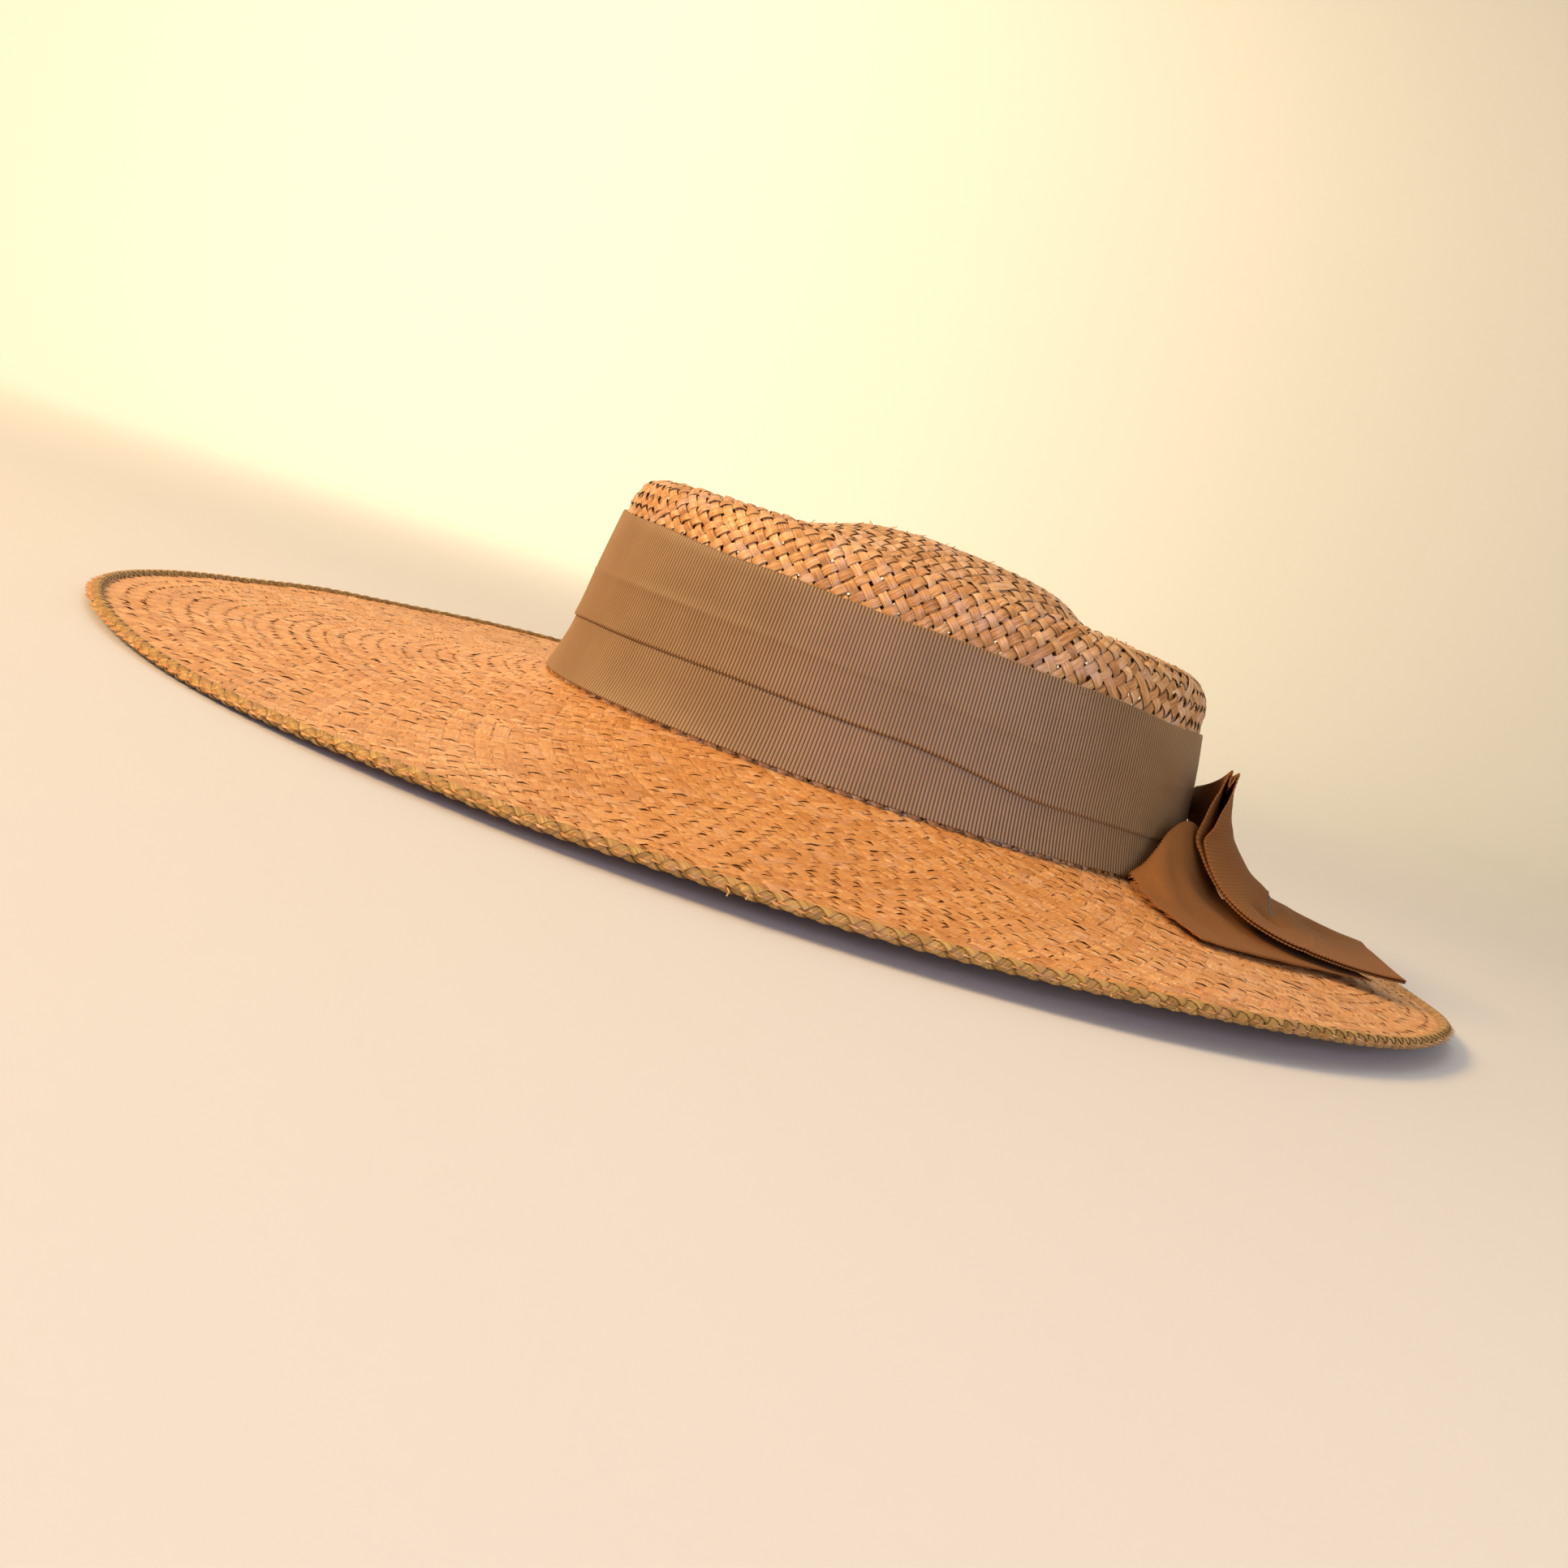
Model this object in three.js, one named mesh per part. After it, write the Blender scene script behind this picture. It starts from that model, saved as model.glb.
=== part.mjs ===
// A wide-brim straw hat with a grosgrain band and a flat ribbon bow at the back left.
//
// Units are millimetres and +Z is up. The front of the hat faces -Y and the wearer's left is +X.
// The hat stands on the lower side of its brim edge, at z = 0. Every ring round the head is an
// oval, and a place on it is an angle from the front (0) over the wearer's left (90) to the
// back (180).

import * as THREE from 'three';

// ---- driving dimensions ----

const AROUND = 56; // facets round each oval
const GAP = 0.3; // clearance between two pieces that touch
const STRAW = 2; // thickness of the woven crown
const BRIM_STRAW = 1.8; // thickness of the woven brim
const RIBBON = 1; // thickness of the band's ribbon
const BOW_RIBBON = 0.9; // thickness of one layer of the bow

const BRIM_HALF_LENGTH = 210; // from the middle of the brim to its front and back tips
const BRIM_HALF_WIDTH = 203;
const EDGE_WIDE = 3.6; // the plaited edge, across
const EDGE_TALL = 3.2;
const EDGE_SIDE = 1; // height at which the edge's flat foot turns up into its side
const EDGE_FOOT = 0.8; // half the width of the flat foot that the hat stands on
const BRIM_RIM_TOP = 2.6; // top of the brim's straw above the foot of its edge
const BRIM_DIP = 2; // how quickly the brim flattens as it leaves the crown

// The crown from the middle of its top to its foot. Each row is an oval: its centre on Y, its two
// half sizes, and its height at the front, at the sides and at the back.
const CROWN = [
  { name: 'cap', centre: 21, halfLength: 12, halfWidth: 9, front: 89, side: 89.1, back: 88.9 },
  { name: 'dome', centre: 23, halfLength: 24, halfWidth: 18, front: 87.7, side: 88.2, back: 87.8 },
  { name: 'dome side', centre: 26, halfLength: 35, halfWidth: 26, front: 85, side: 85.6, back: 85.6 },
  { name: 'flank', centre: 25.5, halfLength: 43, halfWidth: 32, front: 82.4, side: 82.8, back: 82.9 },
  { name: 'dome foot', centre: 25, halfLength: 51, halfWidth: 38, front: 78.5, side: 79, back: 78.3 },
  { name: 'valley', centre: 24.5, halfLength: 60, halfWidth: 45, front: 76.8, side: 77.2, back: 74.7 },
  { name: 'lip', centre: 24, halfLength: 73, halfWidth: 56, front: 78.3, side: 78.2, back: 73.7 },
  { name: 'crest', centre: 23.4, halfLength: 82, halfWidth: 63.5, front: 80.4, side: 79.6, back: 75.2 },
  { name: 'rim', centre: 23.2, halfLength: 88.5, halfWidth: 69, front: 79.9, side: 79, back: 74.4 },
  { name: 'shoulder', centre: 23.2, halfLength: 92.4, halfWidth: 72.8, front: 77.8, side: 76.6, back: 71.6 },
  { name: 'brow', centre: 23.4, halfLength: 94.8, halfWidth: 75, front: 73.4, side: 72.2, back: 67.6 },
  { name: 'band top', centre: 23.4, halfLength: 95.7, halfWidth: 76.1, front: 67.4, side: 63.8, back: 59 },
  { name: 'temple', centre: 23.4, halfLength: 97.4, halfWidth: 77.4, front: 55.4, side: 53.8, back: 50 },
  { name: 'waist', centre: 23.4, halfLength: 99.2, halfWidth: 79, front: 40.4, side: 39.8, back: 37 },
  { name: 'flare', centre: 23.4, halfLength: 101, halfWidth: 80.6, front: 26.9, side: 26.8, back: 25.5 },
  { name: 'foot', centre: 23.4, halfLength: 104.4, halfWidth: 83.2, front: 15.4, side: 15.4, back: 14.5 },
];
const FOOT = CROWN.at(-1);
const WALL = CROWN.slice(CROWN.findIndex((row) => row.name === 'rim')); // what the band goes round

// How far the brim's edge lifts off the table, in gentle waves, by angle round the hat.
const EDGE_LIFT = [
  { angle: 0, lift: 0 },
  { angle: 30, lift: 1.3 },
  { angle: 50, lift: 0.3 },
  { angle: 75, lift: 2.4 },
  { angle: 90, lift: 3.8 },
  { angle: 120, lift: 5.8 },
  { angle: 150, lift: 4 },
  { angle: 180, lift: 0 },
  { angle: 210, lift: 0 },
  { angle: 240, lift: 2.2 },
  { angle: 270, lift: 4 },
  { angle: 300, lift: 4.3 },
  { angle: 330, lift: 1.8 },
  { angle: 348, lift: 0 },
  { angle: 360, lift: 0 },
];

// Heights of the ribbon band, the same on both sides of the hat. The fold is the lower edge of
// the upper layer, the crease is pressed into it, and the top is its upper edge.
const BAND = [
  { angle: 0, fold: 32.4, crease: 47.9, top: 68 },
  { angle: 30, fold: 33.7, crease: 48.3, top: 66.9 },
  { angle: 60, fold: 34, crease: 47.9, top: 64.9 },
  { angle: 90, fold: 32.8, crease: 46.4, top: 63.2 },
  { angle: 120, fold: 27.9, crease: 43.1, top: 61.7 },
  { angle: 150, fold: 26.3, crease: 42.5, top: 59 },
  { angle: 180, fold: 26.2, crease: 42.2, top: 58.5 },
];
const CREASE_SWELL = 0.5; // the crease stands out by this much
const FOLD_SWELL = 0.5; // and the doubled fold by this much

// The bow is one closed loop of ribbon, pressed flat. Each row crosses it in five points, from
// the selvedge on the wearer's left to the other one. The first row is the loop's top end, which
// stands behind the crown, and the last is its other end, which lies on the brim. Half of the
// distance between its two layers is halfGap.
const LOOP = [
  {
    name: 'top',
    halfGap: 1.5,
    line: [[48.5, 122.6, 51.4], [37, 124.1, 48.6], [25, 125.3, 46.2], [12, 126.2, 43.6], [-1, 126.8, 41.3]],
  },
  {
    name: 'upper',
    halfGap: 2.1,
    line: [[48.6, 122, 44.9], [38, 125.6, 43.4], [26, 127.3, 41.5], [13, 127.9, 39.1], [0, 127.7, 36.6]],
  },
  {
    name: 'flare',
    halfGap: 2.1,
    line: [[49, 121.1, 40.7], [38.5, 126.4, 39.2], [27.5, 129.1, 37.7], [15, 129.7, 35.3], [2, 129.2, 32.7]],
  },
  {
    name: 'pinch',
    halfGap: 1.05,
    line: [[49.6, 120.4, 35.9], [39.5, 127, 35.3], [28.5, 131.2, 34.2], [16.5, 132.6, 32.4], [4, 131.5, 29.7]],
  },
  {
    name: 'corner',
    halfGap: 0.65,
    line: [[50.4, 119.3, 31.1], [40, 128.2, 32], [29, 133.2, 31.5], [17.5, 135.1, 29.9], [6, 133.6, 27.2]],
  },
  {
    name: 'turn',
    halfGap: 0.65,
    line: [[52, 121.1, 27.4], [40.5, 130.7, 29.1], [29, 135.9, 29.2], [18, 137.3, 28], [8, 134.6, 25.2]],
  },
  {
    name: 'rise',
    halfGap: 0.65,
    line: [[54.6, 124.4, 22.8], [42, 134.6, 24.8], [30.5, 139.9, 25.4], [20, 141.2, 24.6], [11, 138.2, 22.4]],
  },
  {
    name: 'puff',
    halfGap: 0.65,
    line: [[57.6, 129.2, 18.4], [44, 139.2, 20], [32, 144.5, 21], [23, 145.3, 21.2], [15, 142.3, 20.4]],
  },
  {
    name: 'stitch',
    halfGap: 0.65,
    line: [[62, 135.3, 15.2], [48, 143, 15.8], [36.5, 147.3, 16.8], [27, 148.7, 18], [19, 147.1, 19.1]],
  },
  {
    name: 'seat',
    halfGap: 0.65,
    line: [[66, 141.7, 13.5], [53, 146.9, 13.2], [41, 150.4, 13.8], [30, 152.4, 15.3], [20, 152.8, 17.9]],
  },
  {
    name: 'middle',
    halfGap: 0.65,
    line: [[69, 148.6, 12.6], [57, 152.5, 12.3], [44, 155.6, 12.9], [31, 157.7, 14.4], [18, 158.5, 16.7]],
  },
  {
    name: 'outer',
    halfGap: 0.65,
    line: [[66, 163.1, 11.5], [52, 165.5, 11.4], [38, 167.6, 11.9], [25, 168.8, 13], [13, 169.2, 14.8]],
  },
  {
    name: 'far',
    halfGap: 0.65,
    line: [[59, 176.3, 10.8], [45, 178, 10.7], [32, 179.1, 11.1], [20, 179.7, 12], [7, 180.5, 13]],
  },
  {
    name: 'end',
    halfGap: 0.65,
    line: [[50, 189, 10.5], [38, 189.7, 10.6], [26, 190.4, 10.9], [14, 190.9, 11.3], [2, 191.4, 11.9]],
  },
];

// The bow's tail lies on the brim under the loop. Its first row is the cut end, and its far
// selvedge curls up between the crown and the loop.
const TAIL = [
  {
    name: 'cut end',
    line: [[100.6, 115, 10.75], [91, 110.3, 11.85], [81, 106.5, 12.7], [71.5, 103.3, 14.3], [62, 101.1, 16.9]],
  },
  {
    name: 'lift',
    line: [[98.4, 119.8, 10.35], [88, 115.9, 11.45], [78.5, 111.9, 12.8], [68, 107.7, 15.6], [59.5, 104.1, 19.9]],
  },
  {
    name: 'rise',
    line: [[95.6, 125, 10.05], [85, 120.9, 11.25], [75.5, 115.7, 12.8], [65.5, 109.9, 17.3], [57, 106.6, 24.5]],
  },
  {
    name: 'curl',
    line: [[93, 129.3, 9.95], [82.5, 124.4, 10.75], [73, 118.1, 12.4], [62.5, 111.6, 18.7], [53.5, 109.3, 30.4]],
  },
  {
    name: 'peak',
    line: [[90.8, 133.1, 9.85], [80, 128.1, 10.65], [70, 121.2, 12.3], [59, 113.7, 19.7], [49.5, 113.2, 34.1]],
  },
  {
    name: 'over',
    line: [[88.6, 136.4, 9.75], [77.5, 131.5, 10.35], [67, 124.7, 12.2], [55.5, 118, 20], [45, 117.2, 33.3]],
  },
  {
    name: 'turn',
    line: [[86, 140.4, 9.75], [74.5, 135.8, 10.05], [63, 130, 11.9], [51, 123.7, 18.6], [41, 121, 28.9]],
  },
  {
    name: 'fall',
    line: [[81.5, 145.9, 9.4], [70, 142.2, 9.5], [58, 137.2, 11], [47, 130.9, 15.7], [38, 126.1, 22.5]],
  },
  {
    name: 'hollow',
    line: [[73, 155.7, 9.1], [64, 152.3, 9.5], [55, 146, 10.9], [46, 136.8, 13.2], [37, 129.1, 15]],
  },
  {
    name: 'flat',
    line: [[64, 167.1, 8.7], [55, 163.1, 9.2], [46, 157, 10.5], [38.5, 148.3, 12.6], [31, 140.1, 14.2]],
  },
  {
    name: 'hidden end',
    line: [[56, 177.8, 8.5], [47, 173.7, 8.9], [38, 168, 9.6], [31, 159.8, 11], [24, 150, 12.7]],
  },
];
const TAIL_ACROSS = 8; // facets across the tail
const TAIL_ALONG = 16; // facets along it
const LOOP_ACROSS = 8; // facets across the loop
const LOOP_ALONG = 18; // facets along one layer of the loop
const FOLD_ARC = 3; // facets round each folded end of the loop

// ---- small helpers ----

const degrees = THREE.MathUtils.degToRad;
const lerp = THREE.MathUtils.lerp;

// Reads one column of a table at an angle. The curve is level at every row.
function atAngle(table, column, angle) {
  const next = table.findIndex((row) => row.angle >= angle);
  if (next <= 0) return table[0][column];
  const [low, high] = [table[next - 1], table[next]];
  const part = (angle - low.angle) / (high.angle - low.angle);
  return lerp(low[column], high[column], (1 - Math.cos(Math.PI * part)) / 2);
}

// A band height at any angle, mirrored from the wearer's left to the right.
function bandHeight(column, angle) {
  return atAngle(BAND, column, angle > 180 ? 360 - angle : angle);
}

// A point of an oval ring with the given rows' columns.
function onOval(row, angle) {
  const turn = degrees(angle);
  const ends = (row.front + row.back) / 2 - ((row.back - row.front) / 2) * Math.cos(turn);
  const rise = (row.side - (row.front + row.back) / 2) * Math.sin(turn) ** 2;
  return new THREE.Vector3(
    row.halfWidth * Math.sin(turn),
    row.centre - row.halfLength * Math.cos(turn),
    ends + rise,
  );
}

// One point for each facet corner round the hat.
function ringOf(pointAt) {
  return Array.from({ length: AROUND }, (_, spot) => pointAt((spot * 360) / AROUND));
}

// Covers a stack of equal rings with facets, as one closed body.
//   'join'    the last ring meets the first, as in a hoop
//   'fans'    the first and last rings are each closed by a fan of facets
//   'strips'  they are each closed by a strip, as at the ends of a ribbon
function skin(rings, ends) {
  const count = rings[0].length;
  const points = rings.flat();
  const corners = [];
  const quad = (a, b, c, d) => corners.push(a, b, c, a, c, d);
  const seams = ends === 'join' ? rings.length : rings.length - 1;
  for (let ring = 0; ring < seams; ring += 1) {
    const here = ring * count;
    const next = ((ring + 1) % rings.length) * count;
    for (let spot = 0; spot < count; spot += 1) {
      const beside = (spot + 1) % count;
      quad(here + spot, here + beside, next + beside, next + spot);
    }
  }
  if (ends === 'fans') {
    const top = points.push(middleOf(rings[0])) - 1;
    const bottom = points.push(middleOf(rings.at(-1))) - 1;
    const lastRing = (rings.length - 1) * count;
    for (let spot = 0; spot < count; spot += 1) {
      const beside = (spot + 1) % count;
      corners.push(top, beside, spot);
      corners.push(bottom, lastRing + spot, lastRing + beside);
    }
  }
  if (ends === 'strips') {
    const lastRing = (rings.length - 1) * count;
    for (let spot = 0; spot < count / 2 - 1; spot += 1) {
      const across = count - 1 - spot;
      quad(spot, across, across - 1, spot + 1);
      quad(lastRing + spot, lastRing + spot + 1, lastRing + across - 1, lastRing + across);
    }
  }
  const geometry = new THREE.BufferGeometry().setFromPoints(points);
  geometry.setIndex(volumeOf(points, corners) > 0 ? corners : corners.toReversed());
  geometry.computeVertexNormals();
  return geometry;
}

function middleOf(ring) {
  const sum = ring.reduce((total, point) => total.add(point), new THREE.Vector3());
  return sum.divideScalar(ring.length);
}

// The signed volume inside the facets: positive when they face outward.
function volumeOf(points, corners) {
  let total = 0;
  for (let at = 0; at < corners.length; at += 3) {
    const [a, b, c] = [0, 1, 2].map((step) => points[corners[at + step]]);
    total += a.dot(new THREE.Vector3().crossVectors(b, c)) / 6;
  }
  return total;
}

// The unit normal of a grid of points at one place, from its neighbours. On the rings of the hat
// it points inward.
function normalAt(grid, row, column, wraps) {
  const count = grid[row].length;
  const left = wraps ? (column + count - 1) % count : Math.max(column - 1, 0);
  const right = wraps ? (column + 1) % count : Math.min(column + 1, count - 1);
  const above = grid[Math.max(row - 1, 0)][column];
  const below = grid[Math.min(row + 1, grid.length - 1)][column];
  const across = new THREE.Vector3().subVectors(grid[row][right], grid[row][left]);
  const along = new THREE.Vector3().subVectors(below, above);
  return across.cross(along).normalize();
}

// ---- straw ----

// The crown is a hollow shell: the outer rings from the top down, then the inner ones back up.
// Its foot is cut level, to sit on the brim.
function crownGeometry() {
  const outer = CROWN.map((row) => ringOf((angle) => onOval(row, angle)));
  const inner = outer.map((ring, row) =>
    ring.map((point, column) => {
      const moved = point.clone().addScaledVector(normalAt(outer, row, column, true), STRAW);
      return row === outer.length - 1 ? moved.setZ(point.z) : moved;
    }),
  );
  return skin([...outer, ...inner.toReversed()], 'fans');
}

// A point on the top of the brim's straw: part 0 is the head opening and 1 is the outer rim.
function onBrim(part, angle) {
  const turn = degrees(angle);
  const opening = onOval(FOOT, angle);
  const inset = EDGE_WIDE + GAP;
  const x = lerp((FOOT.halfWidth - STRAW) * Math.sin(turn), (BRIM_HALF_WIDTH - inset) * Math.sin(turn), part);
  const innerY = FOOT.centre - (FOOT.halfLength - STRAW) * Math.cos(turn);
  const y = lerp(innerY, -(BRIM_HALF_LENGTH - inset) * Math.cos(turn), part);
  const rim = atAngle(EDGE_LIFT, 'lift', angle) + BRIM_RIM_TOP;
  const z = lerp(rim, opening.z - GAP, (1 - part) ** BRIM_DIP);
  return new THREE.Vector3(x, y, z);
}

function brimGeometry() {
  const parts = [0, 0.1, 0.24, 0.42, 0.66, 1];
  const top = parts.map((part) => ringOf((angle) => onBrim(part, angle)));
  const drop = new THREE.Vector3(0, 0, -BRIM_STRAW);
  const under = top.map((ring) => ring.map((point) => point.clone().add(drop)));
  return skin([...top, ...under.toReversed()], 'join');
}

// The turned-back plait round the brim: an eight-sided ring with a flat foot.
function edgeGeometry() {
  const half = EDGE_WIDE / 2;
  const section = [
    { out: -EDGE_FOOT, up: 0 },
    { out: EDGE_FOOT, up: 0 },
    { out: half, up: EDGE_SIDE },
    { out: half, up: EDGE_TALL - EDGE_SIDE },
    { out: EDGE_FOOT, up: EDGE_TALL },
    { out: -EDGE_FOOT, up: EDGE_TALL },
    { out: -half, up: EDGE_TALL - EDGE_SIDE },
    { out: -half, up: EDGE_SIDE },
  ];
  const rings = section.map(({ out, up }) =>
    ringOf((angle) => {
      const turn = degrees(angle);
      const x = (BRIM_HALF_WIDTH - half + out) * Math.sin(turn);
      const y = -(BRIM_HALF_LENGTH - half + out) * Math.cos(turn);
      return new THREE.Vector3(x, y, atAngle(EDGE_LIFT, 'lift', angle) + up);
    }),
  );
  return skin(rings, 'join');
}

// ---- ribbon band ----

// A point beside the crown's wall at a height, pushed straight out from it.
function besideWall(angle, height, out) {
  const wall = WALL.map((row) => onOval(row, angle));
  const lower = Math.max(wall.findIndex((point) => point.z <= height), 1);
  const [high, low] = [wall[lower - 1], wall[lower]];
  const point = high.clone().lerp(low, (height - high.z) / (low.z - high.z));
  const turn = degrees(angle);
  const away = new THREE.Vector3(Math.sin(turn) / FOOT.halfWidth, -Math.cos(turn) / FOOT.halfLength, 0);
  return point.addScaledVector(away.normalize(), out);
}

// A hoop of ribbon. Each level has a height by angle, and how far its outer face swells.
function bandGeometry(levels) {
  const outer = levels.map(({ height, swell }) =>
    ringOf((angle) => besideWall(angle, height(angle), GAP + RIBBON + swell)),
  );
  const inner = levels.map(({ height }) => ringOf((angle) => besideWall(angle, height(angle), GAP)));
  return skin([...outer, ...inner.toReversed()], 'join');
}

function upperBandGeometry() {
  const between = (low, high, part) => (angle) =>
    lerp(bandHeight(low, angle), bandHeight(high, angle), part);
  return bandGeometry([
    { height: between('crease', 'top', 1), swell: 0 },
    { height: between('crease', 'top', 0.5), swell: 0 },
    { height: between('crease', 'top', 0), swell: CREASE_SWELL },
    { height: between('fold', 'crease', 0.5), swell: 0.2 },
    { height: between('fold', 'crease', 0), swell: FOLD_SWELL },
  ]);
}

function lowerBandGeometry() {
  const foot = (angle) => onOval(FOOT, angle).z + GAP;
  const top = (angle) => bandHeight('fold', angle) - GAP;
  return bandGeometry([
    { height: top, swell: 0 },
    { height: (angle) => lerp(foot(angle), top(angle), 0.5), swell: 0.1 },
    { height: foot, swell: 0.2 },
  ]);
}

// ---- bow ----

// Points of a ribbon's middle surface: smooth along the rows and across each one.
function ribbonGrid(rows, along, across) {
  const smooth = (points, kind) => new THREE.CatmullRomCurve3(points, false, kind, 0.5);
  const lines = rows[0].line.map((_, column) =>
    smooth(
      rows.map((row) => new THREE.Vector3(...row.line[column])),
      'centripetal',
    ).getSpacedPoints(along),
  );
  return lines[0].map((_, row) =>
    smooth(
      lines.map((line) => line[row]),
      'catmullrom',
    ).getPoints(across),
  );
}

function tailGeometry() {
  const grid = ribbonGrid(TAIL, TAIL_ALONG, TAIL_ACROSS);
  const half = BOW_RIBBON / 2;
  const rings = grid.map((row, at) => {
    const normals = row.map((_, column) => normalAt(grid, at, column, false));
    const face = (side) => row.map((point, column) => point.clone().addScaledVector(normals[column], side));
    return [...face(half), ...face(-half).toReversed()];
  });
  return skin(rings, 'strips');
}

// Half of the distance between the loop's layers, at a part of the way along it.
function halfGapAt(part) {
  const place = part * (LOOP.length - 1);
  const low = Math.min(Math.floor(place), LOOP.length - 2);
  return lerp(LOOP[low].halfGap, LOOP[low + 1].halfGap, place - low);
}

// One closed line round the loop, for one strand across it. The side is +1 for the outer face of
// the ribbon and -1 for its inner face.
function loopLine(grid, column, side) {
  const reach = (row) => halfGapAt(row / LOOP_ALONG) + (side * BOW_RIBBON) / 2;
  const layer = (sign) =>
    grid.map((row, at) => {
      const normal = normalAt(grid, at, column, false);
      return row[column].clone().addScaledVector(normal, sign * reach(at));
    });
  const fold = (row, beside, sign) => {
    const tangent = new THREE.Vector3().subVectors(grid[row][column], grid[beside][column]).normalize();
    const normal = normalAt(grid, row, column, false);
    return Array.from({ length: FOLD_ARC - 1 }, (_, step) => {
      const turn = (Math.PI * (step + 1)) / FOLD_ARC;
      return grid[row][column]
        .clone()
        .addScaledVector(normal, sign * reach(row) * Math.cos(turn))
        .addScaledVector(tangent, reach(row) * Math.sin(turn));
    });
  };
  const last = grid.length - 1;
  return [...layer(1), ...fold(last, last - 1, 1), ...layer(-1).toReversed(), ...fold(0, 1, -1)];
}

function loopGeometry() {
  const grid = ribbonGrid(LOOP, LOOP_ALONG, LOOP_ACROSS);
  const columns = Array.from({ length: LOOP_ACROSS + 1 }, (_, column) => column);
  const outer = columns.map((column) => loopLine(grid, column, 1));
  const inner = columns.map((column) => loopLine(grid, column, -1));
  return skin([...outer, ...inner.toReversed()], 'join');
}

// ---- the hat ----

const straw = new THREE.MeshStandardMaterial({ color: '#c98a4b', roughness: 0.7, metalness: 0 });
const edgeStraw = new THREE.MeshStandardMaterial({ color: '#b98a50', roughness: 0.75, metalness: 0 });
const grosgrain = new THREE.MeshStandardMaterial({ color: '#8a6442', roughness: 0.6, metalness: 0 });
const bowGrosgrain = new THREE.MeshStandardMaterial({ color: '#94683c', roughness: 0.7, metalness: 0 });

const PIECES = [
  { name: 'crown', geometry: crownGeometry(), material: straw },
  { name: 'brim', geometry: brimGeometry(), material: straw },
  { name: 'brim_edge', geometry: edgeGeometry(), material: edgeStraw },
  { name: 'band_upper', geometry: upperBandGeometry(), material: grosgrain },
  { name: 'band_lower', geometry: lowerBandGeometry(), material: grosgrain },
  { name: 'bow_loop', geometry: loopGeometry(), material: bowGrosgrain },
  { name: 'bow_tail', geometry: tailGeometry(), material: bowGrosgrain },
];

const hat = new THREE.Group();
hat.name = 'straw_hat';
for (const { name, geometry, material } of PIECES) {
  const mesh = new THREE.Mesh(geometry, material);
  mesh.name = name;
  hat.add(mesh);
}

export default hat;
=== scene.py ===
# %% [markdown]
# # A wide-brim straw hat
#
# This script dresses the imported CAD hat. The CAD gives the sizes and the places. Here every
# piece gets what the eye expects of a real hat: straw that is woven strand by strand, a plaited
# rim, and ribbon with its ribs. The script works in millimetres and turns them to metres when
# it writes a mesh.

import math

import bmesh
import bpy
import numpy as np
from mathutils import Matrix, Vector


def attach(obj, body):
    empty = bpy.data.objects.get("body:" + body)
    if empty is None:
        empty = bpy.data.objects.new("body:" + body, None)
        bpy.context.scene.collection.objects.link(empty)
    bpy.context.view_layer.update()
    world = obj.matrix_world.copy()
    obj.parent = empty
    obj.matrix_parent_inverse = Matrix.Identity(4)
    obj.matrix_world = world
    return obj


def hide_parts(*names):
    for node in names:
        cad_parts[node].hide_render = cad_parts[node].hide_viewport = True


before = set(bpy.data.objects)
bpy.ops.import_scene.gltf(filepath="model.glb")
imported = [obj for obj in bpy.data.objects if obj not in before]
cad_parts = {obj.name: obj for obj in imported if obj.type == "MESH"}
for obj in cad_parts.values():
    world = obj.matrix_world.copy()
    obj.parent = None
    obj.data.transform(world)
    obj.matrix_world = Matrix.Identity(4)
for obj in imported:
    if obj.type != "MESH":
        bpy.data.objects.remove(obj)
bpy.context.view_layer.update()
MM = 0.001


def new_piece(name, mesh):
    """Puts a mesh in the scene. Its object sits at the origin, with its place in the mesh."""
    piece = bpy.data.objects.new(name, mesh)
    bpy.context.collection.objects.link(piece)
    return piece


# %% [markdown]
# ## The camera
#
# The hat is looked at from the wearer's left, from half a metre away and a little above the
# brim, with the camera rolled over to one side. A camera is three directions and a place: its
# right, its up and its back. Written as the columns of a matrix, they need no trial and error.

# %% Place the camera
LOOK_AT = Vector((0.0, 1.353, 1.256)) * MM
CAMERA_AWAY = 500 * MM
CAMERA_RISE = math.radians(7.425)
CAMERA_ROLL = math.radians(18.54)

back_way = Vector((math.cos(CAMERA_RISE), 0, math.sin(CAMERA_RISE)))
level_right = Vector((0, 1, 0))
level_up = Vector((-math.sin(CAMERA_RISE), 0, math.cos(CAMERA_RISE)))
camera_right = level_right * math.cos(CAMERA_ROLL) + level_up * math.sin(CAMERA_ROLL)
camera_up = level_up * math.cos(CAMERA_ROLL) - level_right * math.sin(CAMERA_ROLL)
camera_data = bpy.data.cameras.new("camera")
camera_data.sensor_width = 36
camera_data.lens = 36 * 1921.6 / 1932
camera_data.clip_start = 0.01
camera_data.clip_end = 30
camera = bpy.data.objects.new("camera", camera_data)
camera.matrix_world = Matrix.Translation(LOOK_AT + back_way * CAMERA_AWAY) @ Matrix(
    (camera_right, camera_up, back_way)
).transposed().to_4x4()
bpy.context.collection.objects.link(camera)
bpy.context.scene.camera = camera
print("camera at", tuple(round(x, 3) for x in camera.matrix_world.translation), "lens", camera_data.lens)

# %% [markdown]
# ## The forms of the hat
#
# Each ring of the crown is an oval, given by its centre, its two half sizes and its height at
# the front, the sides and the back. These are the CAD's own rows. The CAD joins them by flat
# facets, and here a cubic curve runs through the same rows, so the straw bends smoothly.

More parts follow.
